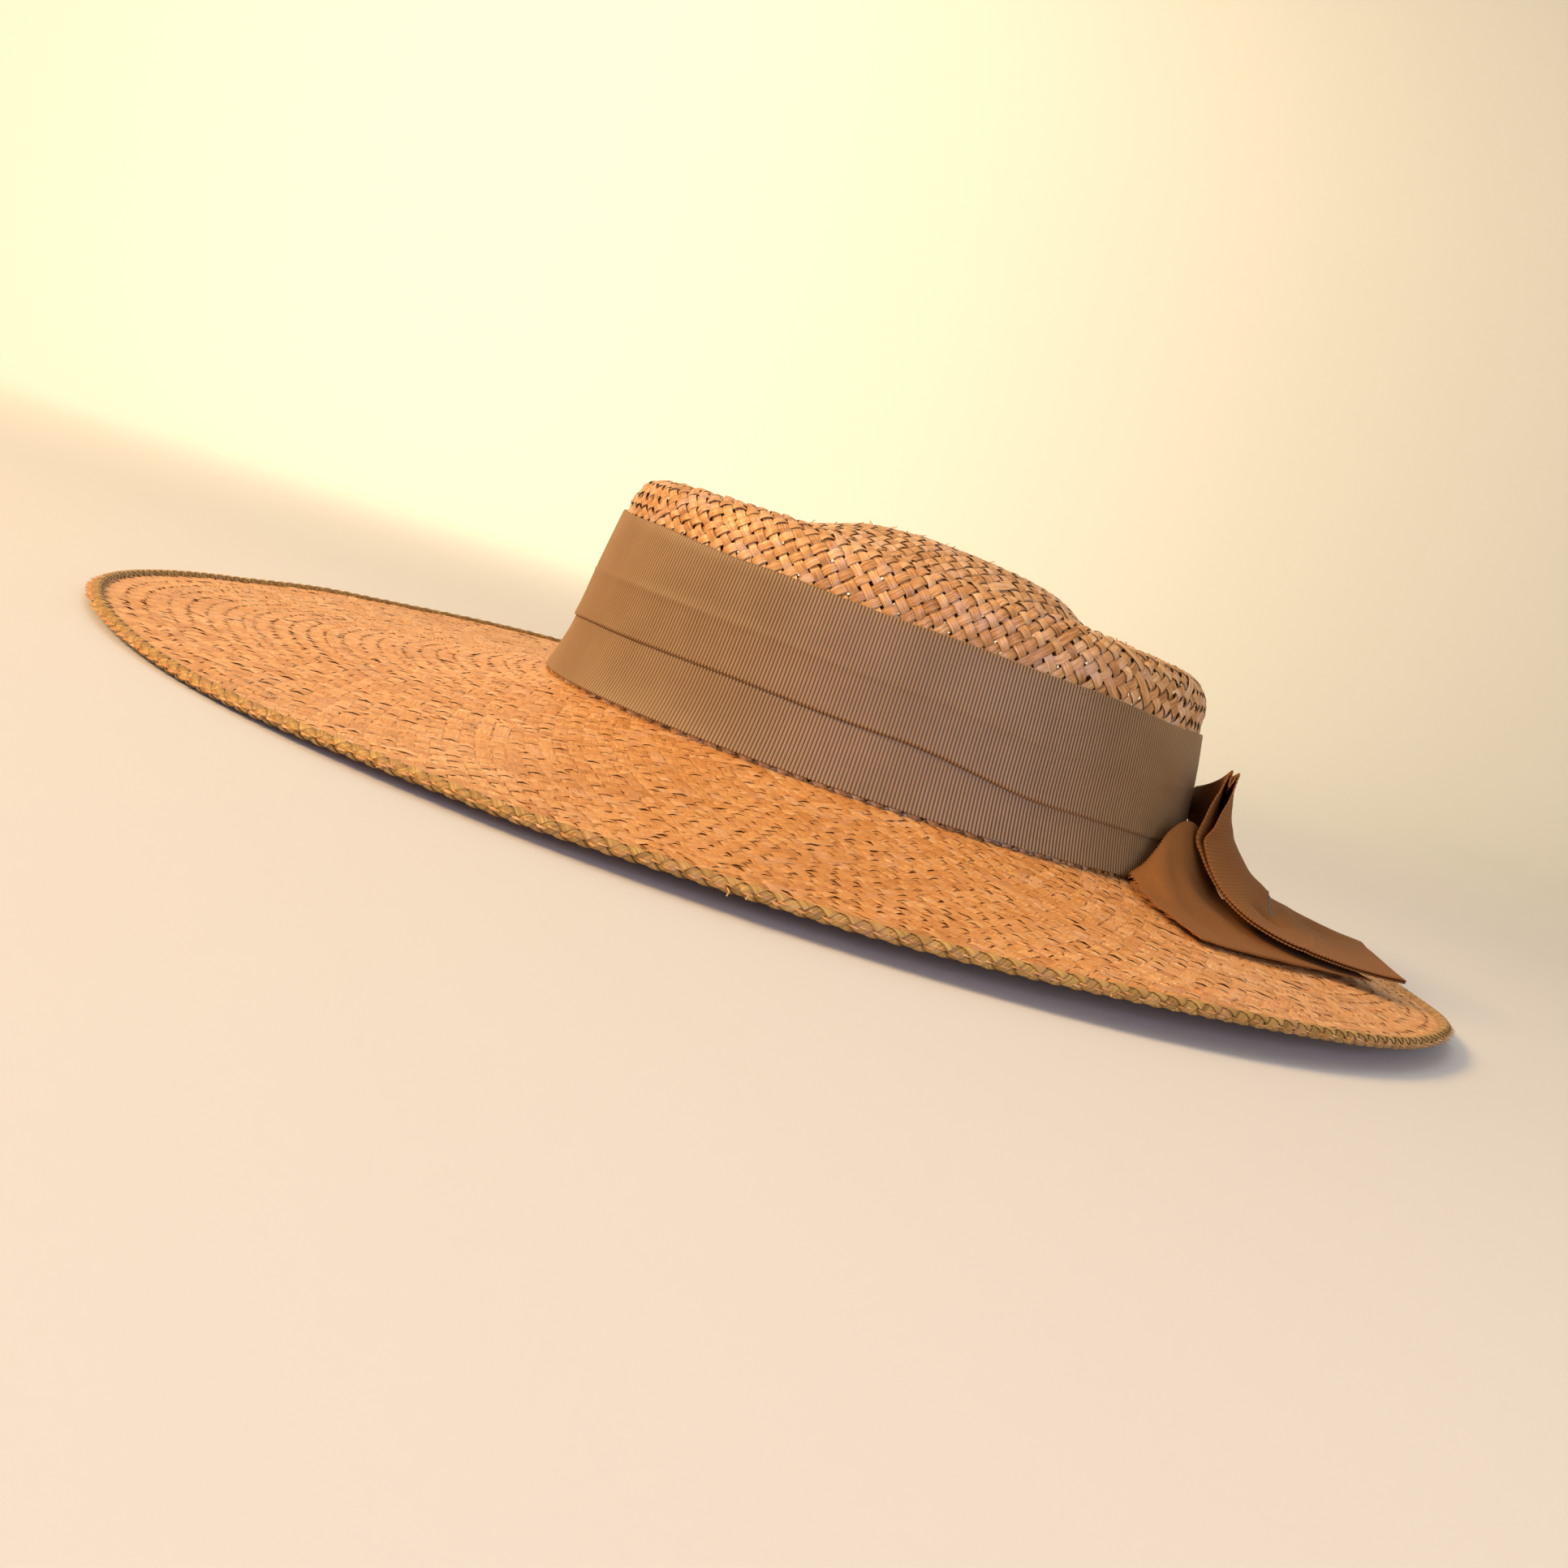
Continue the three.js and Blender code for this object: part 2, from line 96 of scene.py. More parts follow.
# %% The crown's rows, from the top to the foot
CROWN = np.array(
    [
        [20, 0.5, 0.4, 89.6, 89.6, 89.6],
        [21, 12, 9, 89, 89.1, 88.9],
        [23, 24, 18, 87.7, 88.2, 87.8],
        [26, 35, 26, 85, 85.6, 85.6],
        [25.5, 43, 32, 82.4, 82.8, 82.9],
        [25, 51, 38, 78.5, 79, 78.3],
        [24.5, 60, 45, 76.8, 77.2, 74.7],
        [24, 73, 56, 78.3, 78.2, 73.7],
        [23.4, 82, 63.5, 80.4, 79.6, 75.2],
        [23.2, 88.5, 69, 79.9, 79, 74.4],
        [23.2, 92.4, 72.8, 77.8, 76.6, 71.6],
        [23.4, 94.8, 75, 73.4, 72.2, 67.6],
        [23.4, 95.7, 76.1, 67.4, 63.8, 59],
        [23.4, 97.4, 77.4, 55.4, 53.8, 50],
        [23.4, 99.2, 79, 40.4, 39.8, 37],
        [23.4, 101, 80.6, 26.9, 26.8, 25.5],
        [23.4, 104.4, 83.2, 15.4, 15.4, 14.5],
    ]
)
LIP, CREST, RIM, FOOT = 7, 8, 9, 16
size_and_height = np.stack([(CROWN[:, 1] + CROWN[:, 2]) / 2, CROWN[:, 4]], axis=1)
CROWN_DOWN = np.concatenate([[0], np.cumsum(np.linalg.norm(np.diff(size_and_height, axis=0), axis=1))])
print("the crown's profile is", round(CROWN_DOWN[-1], 1), "mm long")


# %% A smooth curve through a column of numbers
def smooth(knots, values, at):
    """Reads a cubic curve that passes through every value."""
    step = np.diff(knots)
    slope = np.diff(values) / step
    lean = np.empty(len(values))
    lean[0], lean[-1] = slope[0], slope[-1]
    lean[1:-1] = (slope[:-1] * step[1:] + slope[1:] * step[:-1]) / (step[1:] + step[:-1])
    low = np.clip(np.searchsorted(knots, at, side="right") - 1, 0, len(knots) - 2)
    part = (at - knots[low]) / step[low]
    start = (1 + 2 * part) * (1 - part) ** 2 * values[low]
    start += part * (1 - part) ** 2 * step[low] * lean[low]
    end = part**2 * (3 - 2 * part) * values[low + 1]
    end -= part**2 * (1 - part) * step[low] * lean[low + 1]
    return start + end


# %% A point on the crown
def oval_point(columns, angle):
    centre, half_length, half_width, front, side, back = columns
    ends = (front + back) / 2
    z = ends - (back - front) / 2 * np.cos(angle) + (side - ends) * np.sin(angle) ** 2
    return np.stack([half_width * np.sin(angle), centre - half_length * np.cos(angle), z], axis=-1)


def crown_point(down, angle):
    """A point of the crown's outer face, at a distance down its profile and an angle."""
    down, angle = np.broadcast_arrays(np.asarray(down, float), np.asarray(angle, float))
    columns = [smooth(CROWN_DOWN, CROWN[:, column], down) for column in range(6)]
    return oval_point(columns, angle)


def unit(vectors):
    return vectors / np.maximum(np.linalg.norm(vectors, axis=-1, keepdims=True), 1e-9)


def crown_normal(down, angle):
    along = crown_point(down + 0.05, angle) - crown_point(down - 0.05, angle)
    around = crown_point(down, angle + 0.001) - crown_point(down, angle - 0.001)
    return unit(np.cross(along, around))


def even_angle(turn, half_length, half_width):
    """The oval's angle for an even share of the way round it, so that strands are evenly spaced."""
    stretch = (half_length**2 - half_width**2) / (half_length**2 + half_width**2) / 4
    return turn + stretch * np.sin(2 * turn)


print("crown at the left side of its rim:", crown_point(CROWN_DOWN[RIM], math.pi / 2).round(1))

# %% [markdown]
# The brim is one sheet between two ovals. It leaves the crown steeply and then flattens. Its
# rim lifts off the table in gentle waves. For weaving, the brim is read the other way round:
# the height that belongs to a place seen from above. The ovals between the head opening and
# the rim are nested, so halving an interval finds the one that passes through the place.

# %% The brim's rim and its height
EDGE_LIFT = np.array(
    [
        [0, 0], [30, 1.3], [50, 0.3], [75, 2.4], [90, 3.8], [120, 5.8], [150, 4], [180, 0],
        [210, 0], [240, 2.2], [270, 4], [300, 4.3], [330, 1.8], [348, 0], [360, 0],
    ]
)
OPENING = (102.4, 81.2)  # half length and half width of the head opening in the brim
BRIM_END = (206.1, 199.1)  # and of the brim's straw
OPENING_CENTRE = 23.4
BRIM_RIM_TOP = 2.6


def wavy(table, angle):
    """Reads a table by angle in degrees. The curve is level at every row."""
    degrees = np.degrees(angle) % 360
    low = np.clip(np.searchsorted(table[:, 0], degrees, side="right") - 1, 0, len(table) - 2)
    part = (degrees - table[low, 0]) / (table[low + 1, 0] - table[low, 0])
    return table[low, 1] + (table[low + 1, 1] - table[low, 1]) * (1 - np.cos(np.pi * part)) / 2


def brim_height(x, y):
    """The height of the brim's top face at places seen from above."""
    low, high = np.full(x.shape, -0.1), np.full(x.shape, 1.2)
    for _ in range(26):
        part = (low + high) / 2
        half_length = OPENING[0] + (BRIM_END[0] - OPENING[0]) * part
        half_width = OPENING[1] + (BRIM_END[1] - OPENING[1]) * part
        sine = x / half_width
        cosine = (OPENING_CENTRE * (1 - part) - y) / half_length
        outside = sine**2 + cosine**2 > 1
        low, high = np.where(outside, part, low), np.where(outside, high, part)
    angle = np.arctan2(sine, cosine)
    rim = wavy(EDGE_LIFT, angle) + BRIM_RIM_TOP
    foot = oval_point(CROWN[FOOT], angle)[..., 2] - 0.3
    return rim + (foot - rim) * np.clip(1 - part, 0, 1.1) ** 2


print("brim beside the crown:", brim_height(np.array([82.0]), np.array([23.4])).round(1))

# %% [markdown]
# ## Strands laid on a surface
#
# A splint of straw is a flat strip, a little thicker in the middle than at its edges. Four
# points make its section: the left edge, the top, the right edge and the underside. Thousands
# of them are needed, so they are computed as arrays, and one helper joins all the strips of a
# piece into a mesh. Each point also carries where it lies along and across its own strip, with
# a number of its own for each strip, so that the material can draw the straw's fibres and give
# each strip its own shade.


# %% Mark where a point lies on its strip
def strip_mark(along, across, own):
    """How far along and across its strip a point is, and the strip's own number."""
    across, own = np.broadcast_to(across, along.shape), np.broadcast_to(own, along.shape)
    return np.stack([along + 50 * own, across, own], axis=-1)


# %% Join strips into one piece
def join_strips(name, corners, keep, marks):
    """corners is strips x samples x 4 x 3 in mm, and marks the same places' along, across, own."""
    strips, samples = keep.shape
    index = np.arange(strips * samples * 4).reshape(strips, samples, 4)
    both = keep[:, :-1] & keep[:, 1:]
    here, ahead = index[:, :-1][both], index[:, 1:][both]
    beside_here, beside_ahead = np.roll(here, -1, axis=1), np.roll(ahead, -1, axis=1)
    walls = np.stack([here, beside_here, beside_ahead, ahead], axis=-1).reshape(-1, 4)
    padded = np.pad(keep, ((0, 0), (1, 1)))
    starts = keep & ~padded[:, :-2] & padded[:, 2:]
    stops = keep & ~padded[:, 2:] & padded[:, :-2]
    faces = np.concatenate([walls, index[starts][:, [0, 3, 2, 1]], index[stops]])
    used, faces = np.unique(faces, return_inverse=True)
    faces = faces.reshape(-1, 4)
    points = corners.reshape(-1, 3)[used] * MM
    a, b, c, d = (points[faces[:, corner]] for corner in range(4))
    volume = np.einsum("ij,ij->", a, np.cross(b, c)) + np.einsum("ij,ij->", a, np.cross(c, d))
    # This turns a whole piece at once, so it is right only where all its strips are wound the
    # same way. In the crown's top and the rim's plait half of them aren't, and stay inside out.
    if volume < 0:
        faces = faces[:, ::-1]
    mesh = bpy.data.meshes.new(name)
    mesh.vertices.add(len(points))
    mesh.vertices.foreach_set("co", points.ravel())
    mesh.loops.add(faces.size)
    mesh.loops.foreach_set("vertex_index", faces.ravel().astype(np.int32))
    mesh.polygons.add(len(faces))
    mesh.polygons.foreach_set("loop_start", np.arange(0, faces.size, 4, dtype=np.int32))
    mesh.update(calc_edges=True)
    mesh.attributes.new("splint", "FLOAT_VECTOR", "POINT")
    mesh.attributes["splint"].data.foreach_set("vector", marks.reshape(-1, 3)[used].ravel())
    ends = np.empty(len(mesh.edges) * 2, dtype=np.int32)
    mesh.edges.foreach_get("vertices", ends)
    corner = (used % 4)[ends.reshape(-1, 2)]
    crease = (corner[:, 0] == corner[:, 1]) & (corner[:, 0] % 2 == 0)
    mesh.attributes.new("sharp_edge", "BOOLEAN", "EDGE")
    mesh.attributes["sharp_edge"].data.foreach_set("value", crease)
    mesh.polygons.foreach_set("use_smooth", [True] * len(faces))
    mesh.update()
    print(name, "has", len(faces) * 2, "triangles in", strips, "strips")
    return new_piece(name, mesh)


# %% [markdown]
# ## Plain weave on rings
#
# The straw is woven on the slant: one set of splints climbs to the left and one to the right,
# and each passes over one and under the next. On rings of radius r, a set of n slanted splints
# stands 2 pi r / n apart along the ring, which is 1.41 times their true spacing. If every
# splint turns by one ring's length for each length that it goes down, all cells stay square. A
# splint can't grow wider, so as the rings grow, new splints are added: the surface is divided
# into zones, each with its own number of splints, as the weaver's rows of increases do.

# %% Weaving in a zone of rings
rng = np.random.default_rng(7)
SPLINT = 3.55  # mm from one splint to the next
FULL_WIDTH = 0.9  # a splint's width as a part of that, so that small holes stay at the corners
CREST_RISE = 0.16  # how far a splint's middle stands above its edges
KEEL_DROP = 0.2  # and its underside below them
BENDS = {2: [1.0, 0.55], 3: [1.0, 0.8, 0.2]}  # how a splint bends from one crossing to the next
SLIPS = 0.02  # the share of crossings where the weaver slipped, over for under
UNEVEN = 0.32  # how unevenly a splint rises, as a share of its rise
NARROWER = 0.08  # how much narrower the narrowest splint is
STRIP_SHIFT = 0.2  # mm that a whole splint lies off its line
STRIP_WANDER = 0.13  # mm that it wanders on its way
print("splints lie about", SPLINT, "mm apart")


def over_and_under(signs, samples):
    """Heights of the strands at every sample, from +1 (over) and -1 (under) at the crossings."""
    last, following = signs[:, :-1, None], signs[:, 1:, None]
    bend = np.array(BENDS[samples])
    between = last * bend + following * (1 - bend)
    return np.concatenate([between.reshape(len(signs), -1), signs[:, -1:]], axis=1)


def ring_weave(surface, radius, start, end, count, rise, width, samples, ends_sink, inside=None):
    """Weaves count splints each way between two rings. surface(u, turn, lift) gives the points."""
    reach = np.linspace(start - 6, end + 6, 800)
    turned = np.concatenate([[0], np.cumsum(np.diff(reach) / radius((reach[1:] + reach[:-1]) / 2))])
    first = np.interp(start, reach, turned)
    crossings = int(round((np.interp(end, reach, turned) - first) * count / np.pi)) + 1
    steps = np.arange(-samples, samples * crossings + 1)  # starts one crossing early
    places = first + steps / samples * np.pi / count
    u = np.interp(places, turned, reach)
    ring = np.arange(crossings + 2)
    signs = np.where((ring[None, :] % 2) == 0, 1.0, -1.0) * np.ones((count, 1))
    signs *= np.where(rng.random(signs.shape) < SLIPS, -1, 1)
    jitter = 1 + UNEVEN * rng.standard_normal(signs.shape)
    other = np.empty_like(signs)
    for k in ring:
        other[:, k] = -np.roll(signs[:, k], k - 1)
    parts, marks, keeps = [], [], []
    for way, crossing in ((1, signs), (-1, other)):
        own = rng.random((count, 1))
        lift = over_and_under(crossing * jitter, samples) * rise
        sink = np.zeros(len(u))
        sink[: samples + 1] -= ends_sink[0] * np.linspace(1, 0, samples + 1)
        sink[-samples - 1 :] -= ends_sink[1] * np.linspace(0, 1, samples + 1)
        lift = lift + sink
        drift = STRIP_SHIFT * rng.standard_normal((count, 1))
        drift = drift + STRIP_WANDER * rng.standard_normal(lift.shape)
        r = radius(u)
        turn = 2 * np.pi * np.arange(count)[:, None] / count + way * (places - first) + drift / r
        half = np.pi * r / count / math.sqrt(2) * (FULL_WIDTH + width - NARROWER * own)
        lean = half / math.sqrt(2)
        right_u, right_turn = way * lean, -lean / r
        u_all = np.broadcast_to(u, lift.shape)
        tilt = 0.05 * rng.standard_normal(lift.shape)
        sides = [
            surface(u_all - right_u, turn - right_turn, lift - tilt),
            surface(u_all, turn, lift + CREST_RISE),
            surface(u_all + right_u, turn + right_turn, lift + tilt),
            surface(u_all, turn, lift - KEEL_DROP),
        ]
        along = np.broadcast_to(np.cumsum(np.full(len(u), SPLINT / samples)), lift.shape)
        across = [-half, 0 * half, half, 0 * half]
        mark = [strip_mark(along, x, own) for x in across]
        parts.append(np.stack(sides, axis=2))
        marks.append(np.stack(mark, axis=2))
        shown = np.ones(lift.shape, bool) if inside is None else inside(parts[-1][:, :, 1])
        keeps.append(shown)
    return np.concatenate(parts), np.concatenate(keeps), np.concatenate(marks)


def join_zones(name, zones):
    """Joins the strips of several zones, filled up to the same number of samples."""
    longest = max(keep.shape[1] for _, keep, _ in zones)
    corners, keeps, marks = [], [], []
    for corner, keep, mark in zones:
        spare = longest - keep.shape[1]
        corners.append(np.pad(corner, ((0, 0), (0, spare), (0, 0), (0, 0))))
        keeps.append(np.pad(keep, ((0, 0), (0, spare))))
        marks.append(np.pad(mark, ((0, 0), (0, spare), (0, 0), (0, 0))))
    return join_strips(name, np.concatenate(corners), np.concatenate(keeps), np.concatenate(marks))


# %% [markdown]
# ## The crown
#
# The wall of the crown is woven on rings, from its foot up over the rolled rim. The top inside
# the rim is nearly flat, so it is woven straight across, like a mat, and its ends pass under
# the ring weave.

# %% Lay a splint on the crown's rings
CROWN_MID = 0.8  # mm from the crown's outer face to the middle of its straw


def crown_radius(down):
    return (smooth(CROWN_DOWN, CROWN[:, 1], down) + smooth(CROWN_DOWN, CROWN[:, 2], down)) / 2


def crown_surface(down, turn, lift):
    half_length = smooth(CROWN_DOWN, CROWN[:, 1], down)
    half_width = smooth(CROWN_DOWN, CROWN[:, 2], down)
    angle = even_angle(turn, half_length, half_width)
    return crown_point(down, angle) + crown_normal(down, angle) * (lift - CROWN_MID)[..., None]


def crown_top_place(x, y):
    """How far down the profile the crown's ring through a place is, and its angle there."""
    low, high = np.zeros(x.shape), np.full(x.shape, CROWN_DOWN[RIM])
    for _ in range(26):
        down = (low + high) / 2
        sine = x / smooth(CROWN_DOWN, CROWN[:, 2], down)
        cosine = (smooth(CROWN_DOWN, CROWN[:, 0], down) - y) / smooth(CROWN_DOWN, CROWN[:, 1], down)
        outside = sine**2 + cosine**2 > 1
        low, high = np.where(outside, down, low), np.where(outside, high, down)
    return down, np.arctan2(sine, cosine)


# %% Weave straight across, like a mat
def mat_weave(centre, reach, spacing, rise, height, inside):
    """Weaves straight splints on the slant over a place seen from above."""
    count = int(2 * reach / spacing) + 1
    offsets = (np.arange(count) - count // 2) * spacing
    steps = (np.arange((count - 1) * 3 + 1) / 3 - count // 2) * spacing
    signs = np.where((np.arange(count)[:, None] + np.arange(count)[None, :]) % 2 == 0, 1.0, -1.0)
    signs *= np.where(rng.random(signs.shape) < 0.03, -1, 1)
    parts, keeps, marks = [], [], []
    for way, crossing in ((0, signs), (1, -signs.T)):
        own = rng.random((count, 1))
        lift = over_and_under(crossing * (1 + 0.18 * rng.standard_normal(crossing.shape)), 3) * rise
        forward = np.array([1, 1]) / math.sqrt(2) if way == 0 else np.array([-1, 1]) / math.sqrt(2)
        sideways = np.array([-1, 1]) / math.sqrt(2) if way == 0 else np.array([1, 1]) / math.sqrt(2)
        wander = offsets[:, None] + 0.12 * rng.standard_normal((count, 1))
        half = spacing / 2 * (FULL_WIDTH + 0.06 - NARROWER * own) * np.ones(lift.shape)
        sides, mark = [], []
        for across, up in ((-half, 0), (0 * half, CREST_RISE), (half, 0), (0 * half, -KEEL_DROP)):
            x = centre[0] + steps * forward[0] + (wander + across) * sideways[0]
            y = centre[1] + steps * forward[1] + (wander + across) * sideways[1]
            shown, point = height(x, y, lift + up)
            if up == CREST_RISE:
                keeps.append(inside(shown))
            sides.append(point)
            along = np.broadcast_to(steps, lift.shape)
            mark.append(strip_mark(along, across, own))
        parts.append(np.stack(sides, axis=2))
        marks.append(np.stack(mark, axis=2))
    return np.concatenate(parts), np.concatenate(keeps), np.concatenate(marks)


# %% Weave the crown's wall and its top
def crown_top_height(x, y, lift):
    down, angle = crown_top_place(x, y)
    near_edge = np.clip((down - CROWN_DOWN[LIP]) / 4, 0, 1)
    point = crown_point(down, angle)
    point[..., 2] += lift - CROWN_MID - 0.5 * near_edge
    return down, point


wall_start = (CROWN_DOWN[LIP] + CROWN_DOWN[CREST]) / 2
WALL_SPLINTS = 108  # each way
WALL_RISE = 0.48  # the crown's weave is open and deep, and the brim's is close and flat
TOP_RISE = 0.42
wall_end = CROWN_DOWN[FOOT] - 1
wall = ring_weave(
    crown_surface, crown_radius, wall_start, wall_end, WALL_SPLINTS, WALL_RISE, -0.09, 3, (0.3, 1.2)
)
top = mat_weave(
    (0, 24), 80, SPLINT, TOP_RISE, crown_top_height, lambda down: down < wall_start + 2.5
)
crown_wall = join_zones("crown_wall_straw", [wall])
crown_top = join_zones("crown_top_straw", [top])

# %% [markdown]
# ## The brim
#
# The brim is woven outward from the head opening in zones, and every zone has more splints
# than the last. Near the rim the rings change over to follow the rim itself, so the last zone
# is a border 12 mm wide, and a faint line shows where it begins.

# %% Lay a splint on the brim's rings
BRIM_MID = 0.85  # mm from the brim's top face to the middle of its straw
BORDER = 12.0  # mm, the width of the border


def brim_radius(out):
    return (OPENING[0] + OPENING[1]) / 2 + out


def brim_surface(out, turn, lift):
    half_length, half_width = OPENING[0] + out, OPENING[1] + out
    angle = even_angle(turn, half_length, half_width)
    x, y = half_width * np.sin(angle), OPENING_CENTRE - half_length * np.cos(angle)
    return np.stack([x, y, brim_height(x, y) - BRIM_MID + lift], axis=-1)


def inside_border(points):
    x, y = points[..., 0], points[..., 1]
    far = BORDER - 2.0
    return (x / (BRIM_END[1] - far)) ** 2 + (y / (BRIM_END[0] - far)) ** 2 < 1


def border_radius(out):
    return (BRIM_END[0] + BRIM_END[1]) / 2 - BORDER + out


def border_surface(out, turn, lift):
    half_length, half_width = BRIM_END[0] - BORDER + out, BRIM_END[1] - BORDER + out
    angle = even_angle(turn, half_length, half_width)
    x, y = half_width * np.sin(angle), -half_length * np.cos(angle)
    return np.stack([x, y, brim_height(x, y) - BRIM_MID + lift], axis=-1)


# %% Weave the brim
BRIM_RISE = 0.27
BRIM_WIDER = 0.2  # the brim's splints are beaten closer, so they overlap a little
zone_ends = [0.5, 14, 29.5, 47, 67, 90, 118]
zones = []
for zone_start, zone_end in zip(zone_ends[:-1], zone_ends[1:]):
    middle = brim_radius((zone_start + zone_end) / 2)
    count = int(round(2 * np.pi * middle / (SPLINT * math.sqrt(2))))
    look = (count, BRIM_RISE, BRIM_WIDER, 2, (0.2, 0.1), inside_border)
    zones.append(ring_weave(brim_surface, brim_radius, zone_start, zone_end, *look))
    print("brim zone", zone_start, "to", zone_end, "mm:", count, "splints each way")
border_count = int(round(2 * np.pi * border_radius(6) / (SPLINT * math.sqrt(2))))
look = (border_count, BRIM_RISE, BRIM_WIDER, 2, (0.1, 0.0))
border = ring_weave(border_surface, border_radius, 0.5, BORDER + 0.5, *look)
brim_inner = join_zones("brim_inner_straw", zones[:4])
brim_outer = join_zones("brim_outer_straw", zones[4:])
brim_border = join_zones("brim_border_straw", [border])

# %% [markdown]
# ## The plaited rim
#
# At the rim the splints turn back and are plaited into a round edge. Two pairs of splints
# wind round it in opposite directions, over and under one another, as in a round cord. The
# surface is a tube that follows the rim: one coordinate runs along it and one goes round it.

# %% A point on the plaited rim
EDGE_HALF = (1.55, 1.3)  # half width and half height of the plait
EDGE_MIDDLE = 1.74  # mm from the table to the plait's middle, where the rim lies down
RIM_MIDDLE = (208.2, 201.2)
RIM_RADIUS = 204.7


def rim_point(turn, around, lift):
    """A point of the plait. around is 0 at the outside of the rim and goes up over it."""
    angle = even_angle(turn, *RIM_MIDDLE)
    out = (EDGE_HALF[0] + lift) * np.cos(around)
    up = (EDGE_HALF[1] + lift) * np.sin(around)
    x = (RIM_MIDDLE[1] + out) * np.sin(angle)
    y = -(RIM_MIDDLE[0] + out) * np.cos(angle)
    return np.stack([x, y, wavy(EDGE_LIFT, angle) + EDGE_MIDDLE + up], axis=-1)


RIM_ROUND = 2 * np.pi * RIM_RADIUS
PLAIT_ROUND = 2 * np.pi * EDGE_HALF[0]
PLAIT_SETS = 2
plait_turns = int(round(RIM_ROUND / PLAIT_ROUND))
print("the rim is", round(RIM_ROUND), "mm round, and each splint winds about", plait_turns, "times")


# %% Wind the plait's splints
PLAIT_FULL = 0.88  # a splint's width as a part of its share of the plait


def plait(count, windings, rise):
    """Two sets of splints that wind round the rim in opposite directions."""
    crossings = 2 * count * windings
    pieces = 12
    steps = np.arange(crossings * 3 // pieces + 1)
    parts, keeps, marks = [], [], []
    for way in (1, -1):
        for piece in range(pieces):
            at = (steps + piece * (len(steps) - 1)) / 3
            part = at / crossings
            for strand in range(count):
                own = rng.random()
                turn = 2 * np.pi * part
                around = way * (windings * turn) + 2 * np.pi * strand / count
                whole = np.round(at).astype(int)
                sign = np.where((whole + (way < 0)) % 2 == 0, 1.0, -1.0)
                fade = np.where(np.abs(at - whole) < 0.01, 1.0, 0.6)
                lift = sign * fade * rise
                half = PLAIT_ROUND / math.sqrt(2) / count / 2 * PLAIT_FULL
                lean_turn = half / math.sqrt(2) / RIM_RADIUS
                lean_around = half / math.sqrt(2) / EDGE_HALF[0]
                sides = [
                    rim_point(turn - lean_turn, around + way * lean_around, lift - 0.05),
                    rim_point(turn, around, lift + 0.14),
                    rim_point(turn + lean_turn, around - way * lean_around, lift - 0.05),
                    rim_point(turn, around, lift - 0.22),
                ]
                along = at * PLAIT_ROUND / math.sqrt(2) / count
                mark = [strip_mark(along, x, own) for x in (-half, 0, half, 0)]
                parts.append(np.stack(sides, axis=1))
                marks.append(np.stack(mark, axis=1))
                keeps.append(np.ones(len(at), bool))
    return np.array(parts), np.array(keeps), np.array(marks)


rim_plait = join_strips("rim_plait", *plait(PLAIT_SETS, plait_turns, 0.28))

# %% [markdown]
# ## The ribbon band
#
# Grosgrain ribbon has a thick weft that makes it ribbed from edge to edge, about one rib a
# millimetre. The band is a hoop of ribbon round the crown's wall. It is made from a flat grid,
# with three columns of points to each rib: one in the groove and two on the rib. The grid is
# rolled round the crown, its ends are merged, and a Solidify modifier gives it the ribbon's
# thickness.

# %% Heights of the band, by angle from the front to the back
BAND_FOLD = np.array(
    [[0, 32.4], [30, 33.7], [60, 34], [90, 32.8], [120, 27.9], [150, 26.3], [180, 26.2]]
)
BAND_CREASE = np.array(
    [[0, 47.9], [30, 48.3], [60, 47.9], [90, 46.4], [120, 43.1], [150, 42.5], [180, 42.2]]
)
BAND_TOP = np.array(
    [[0, 68], [30, 66.9], [60, 64.9], [90, 63.2], [120, 61.7], [150, 59], [180, 58.5]]
)
RIB_DEPTH = 0.34  # mm
BAND_RIBS = 542
RIBBON = 0.5  # mm, the ribbon's thickness
print("each layer of the band has", BAND_RIBS, "ribs")


def mirrored(table, angle):
    degrees = np.degrees(angle) % 360
    return wavy(table, np.radians(np.where(degrees > 180, 360 - degrees, degrees)))


def beside_wall(angle, height, out):
    """A point beside the crown's wall at a height, pushed straight out from it."""
    low = np.full(angle.shape, CROWN_DOWN[RIM])
    high = np.full(angle.shape, CROWN_DOWN[FOOT])
    for _ in range(24):
        down = (low + high) / 2
        above = crown_point(down, angle)[..., 2] > height
        low, high = np.where(above, down, low), np.where(above, high, down)
    away = unit(np.stack([np.sin(angle) / 83.2, -np.cos(angle) / 104.4, 0 * angle], axis=-1))
    return crown_point(down, angle) + away * out[..., None]


# %% Roll a grid of ribbon into a hoop
def ribbon_piece(name, columns, rows, place, closed, thickness, offset=-1.0):
    """place(part along, part across, column in the groove) gives the points of the ribbon in mm."""
    bm = bmesh.new()
    bmesh.ops.create_grid(bm, x_segments=columns, y_segments=rows, size=0.5)
    flat = np.array([vertex.co[:] for vertex in bm.verts])
    along, across = flat[:, 0] + 0.5, flat[:, 1] + 0.5
    number = np.round(along * columns).astype(int)
    groove = number % 3 == 0
    points = place(along, across, groove) * MM
    for vertex, point in zip(bm.verts, points):
        vertex.co = point
    rib = bm.verts.layers.float.new("rib")
    for vertex, deep in zip(bm.verts, groove):
        vertex[rib] = 0.0 if deep else 1.0
    if closed:
        seam = [v for v, n in zip(bm.verts, number) if n in (0, columns)]
        bmesh.ops.remove_doubles(bm, verts=seam, dist=1e-6)
    mesh = bpy.data.meshes.new(name)
    bm.to_mesh(mesh)
    bm.free()
    mesh.polygons.foreach_set("use_smooth", [True] * len(mesh.polygons))
    piece = new_piece(name, mesh)
    wall = piece.modifiers.new("ribbon", "SOLIDIFY")
    wall.thickness = thickness * MM
    wall.offset = offset
    print(name, "has about", len(mesh.polygons) * 4, "triangles")
    return piece


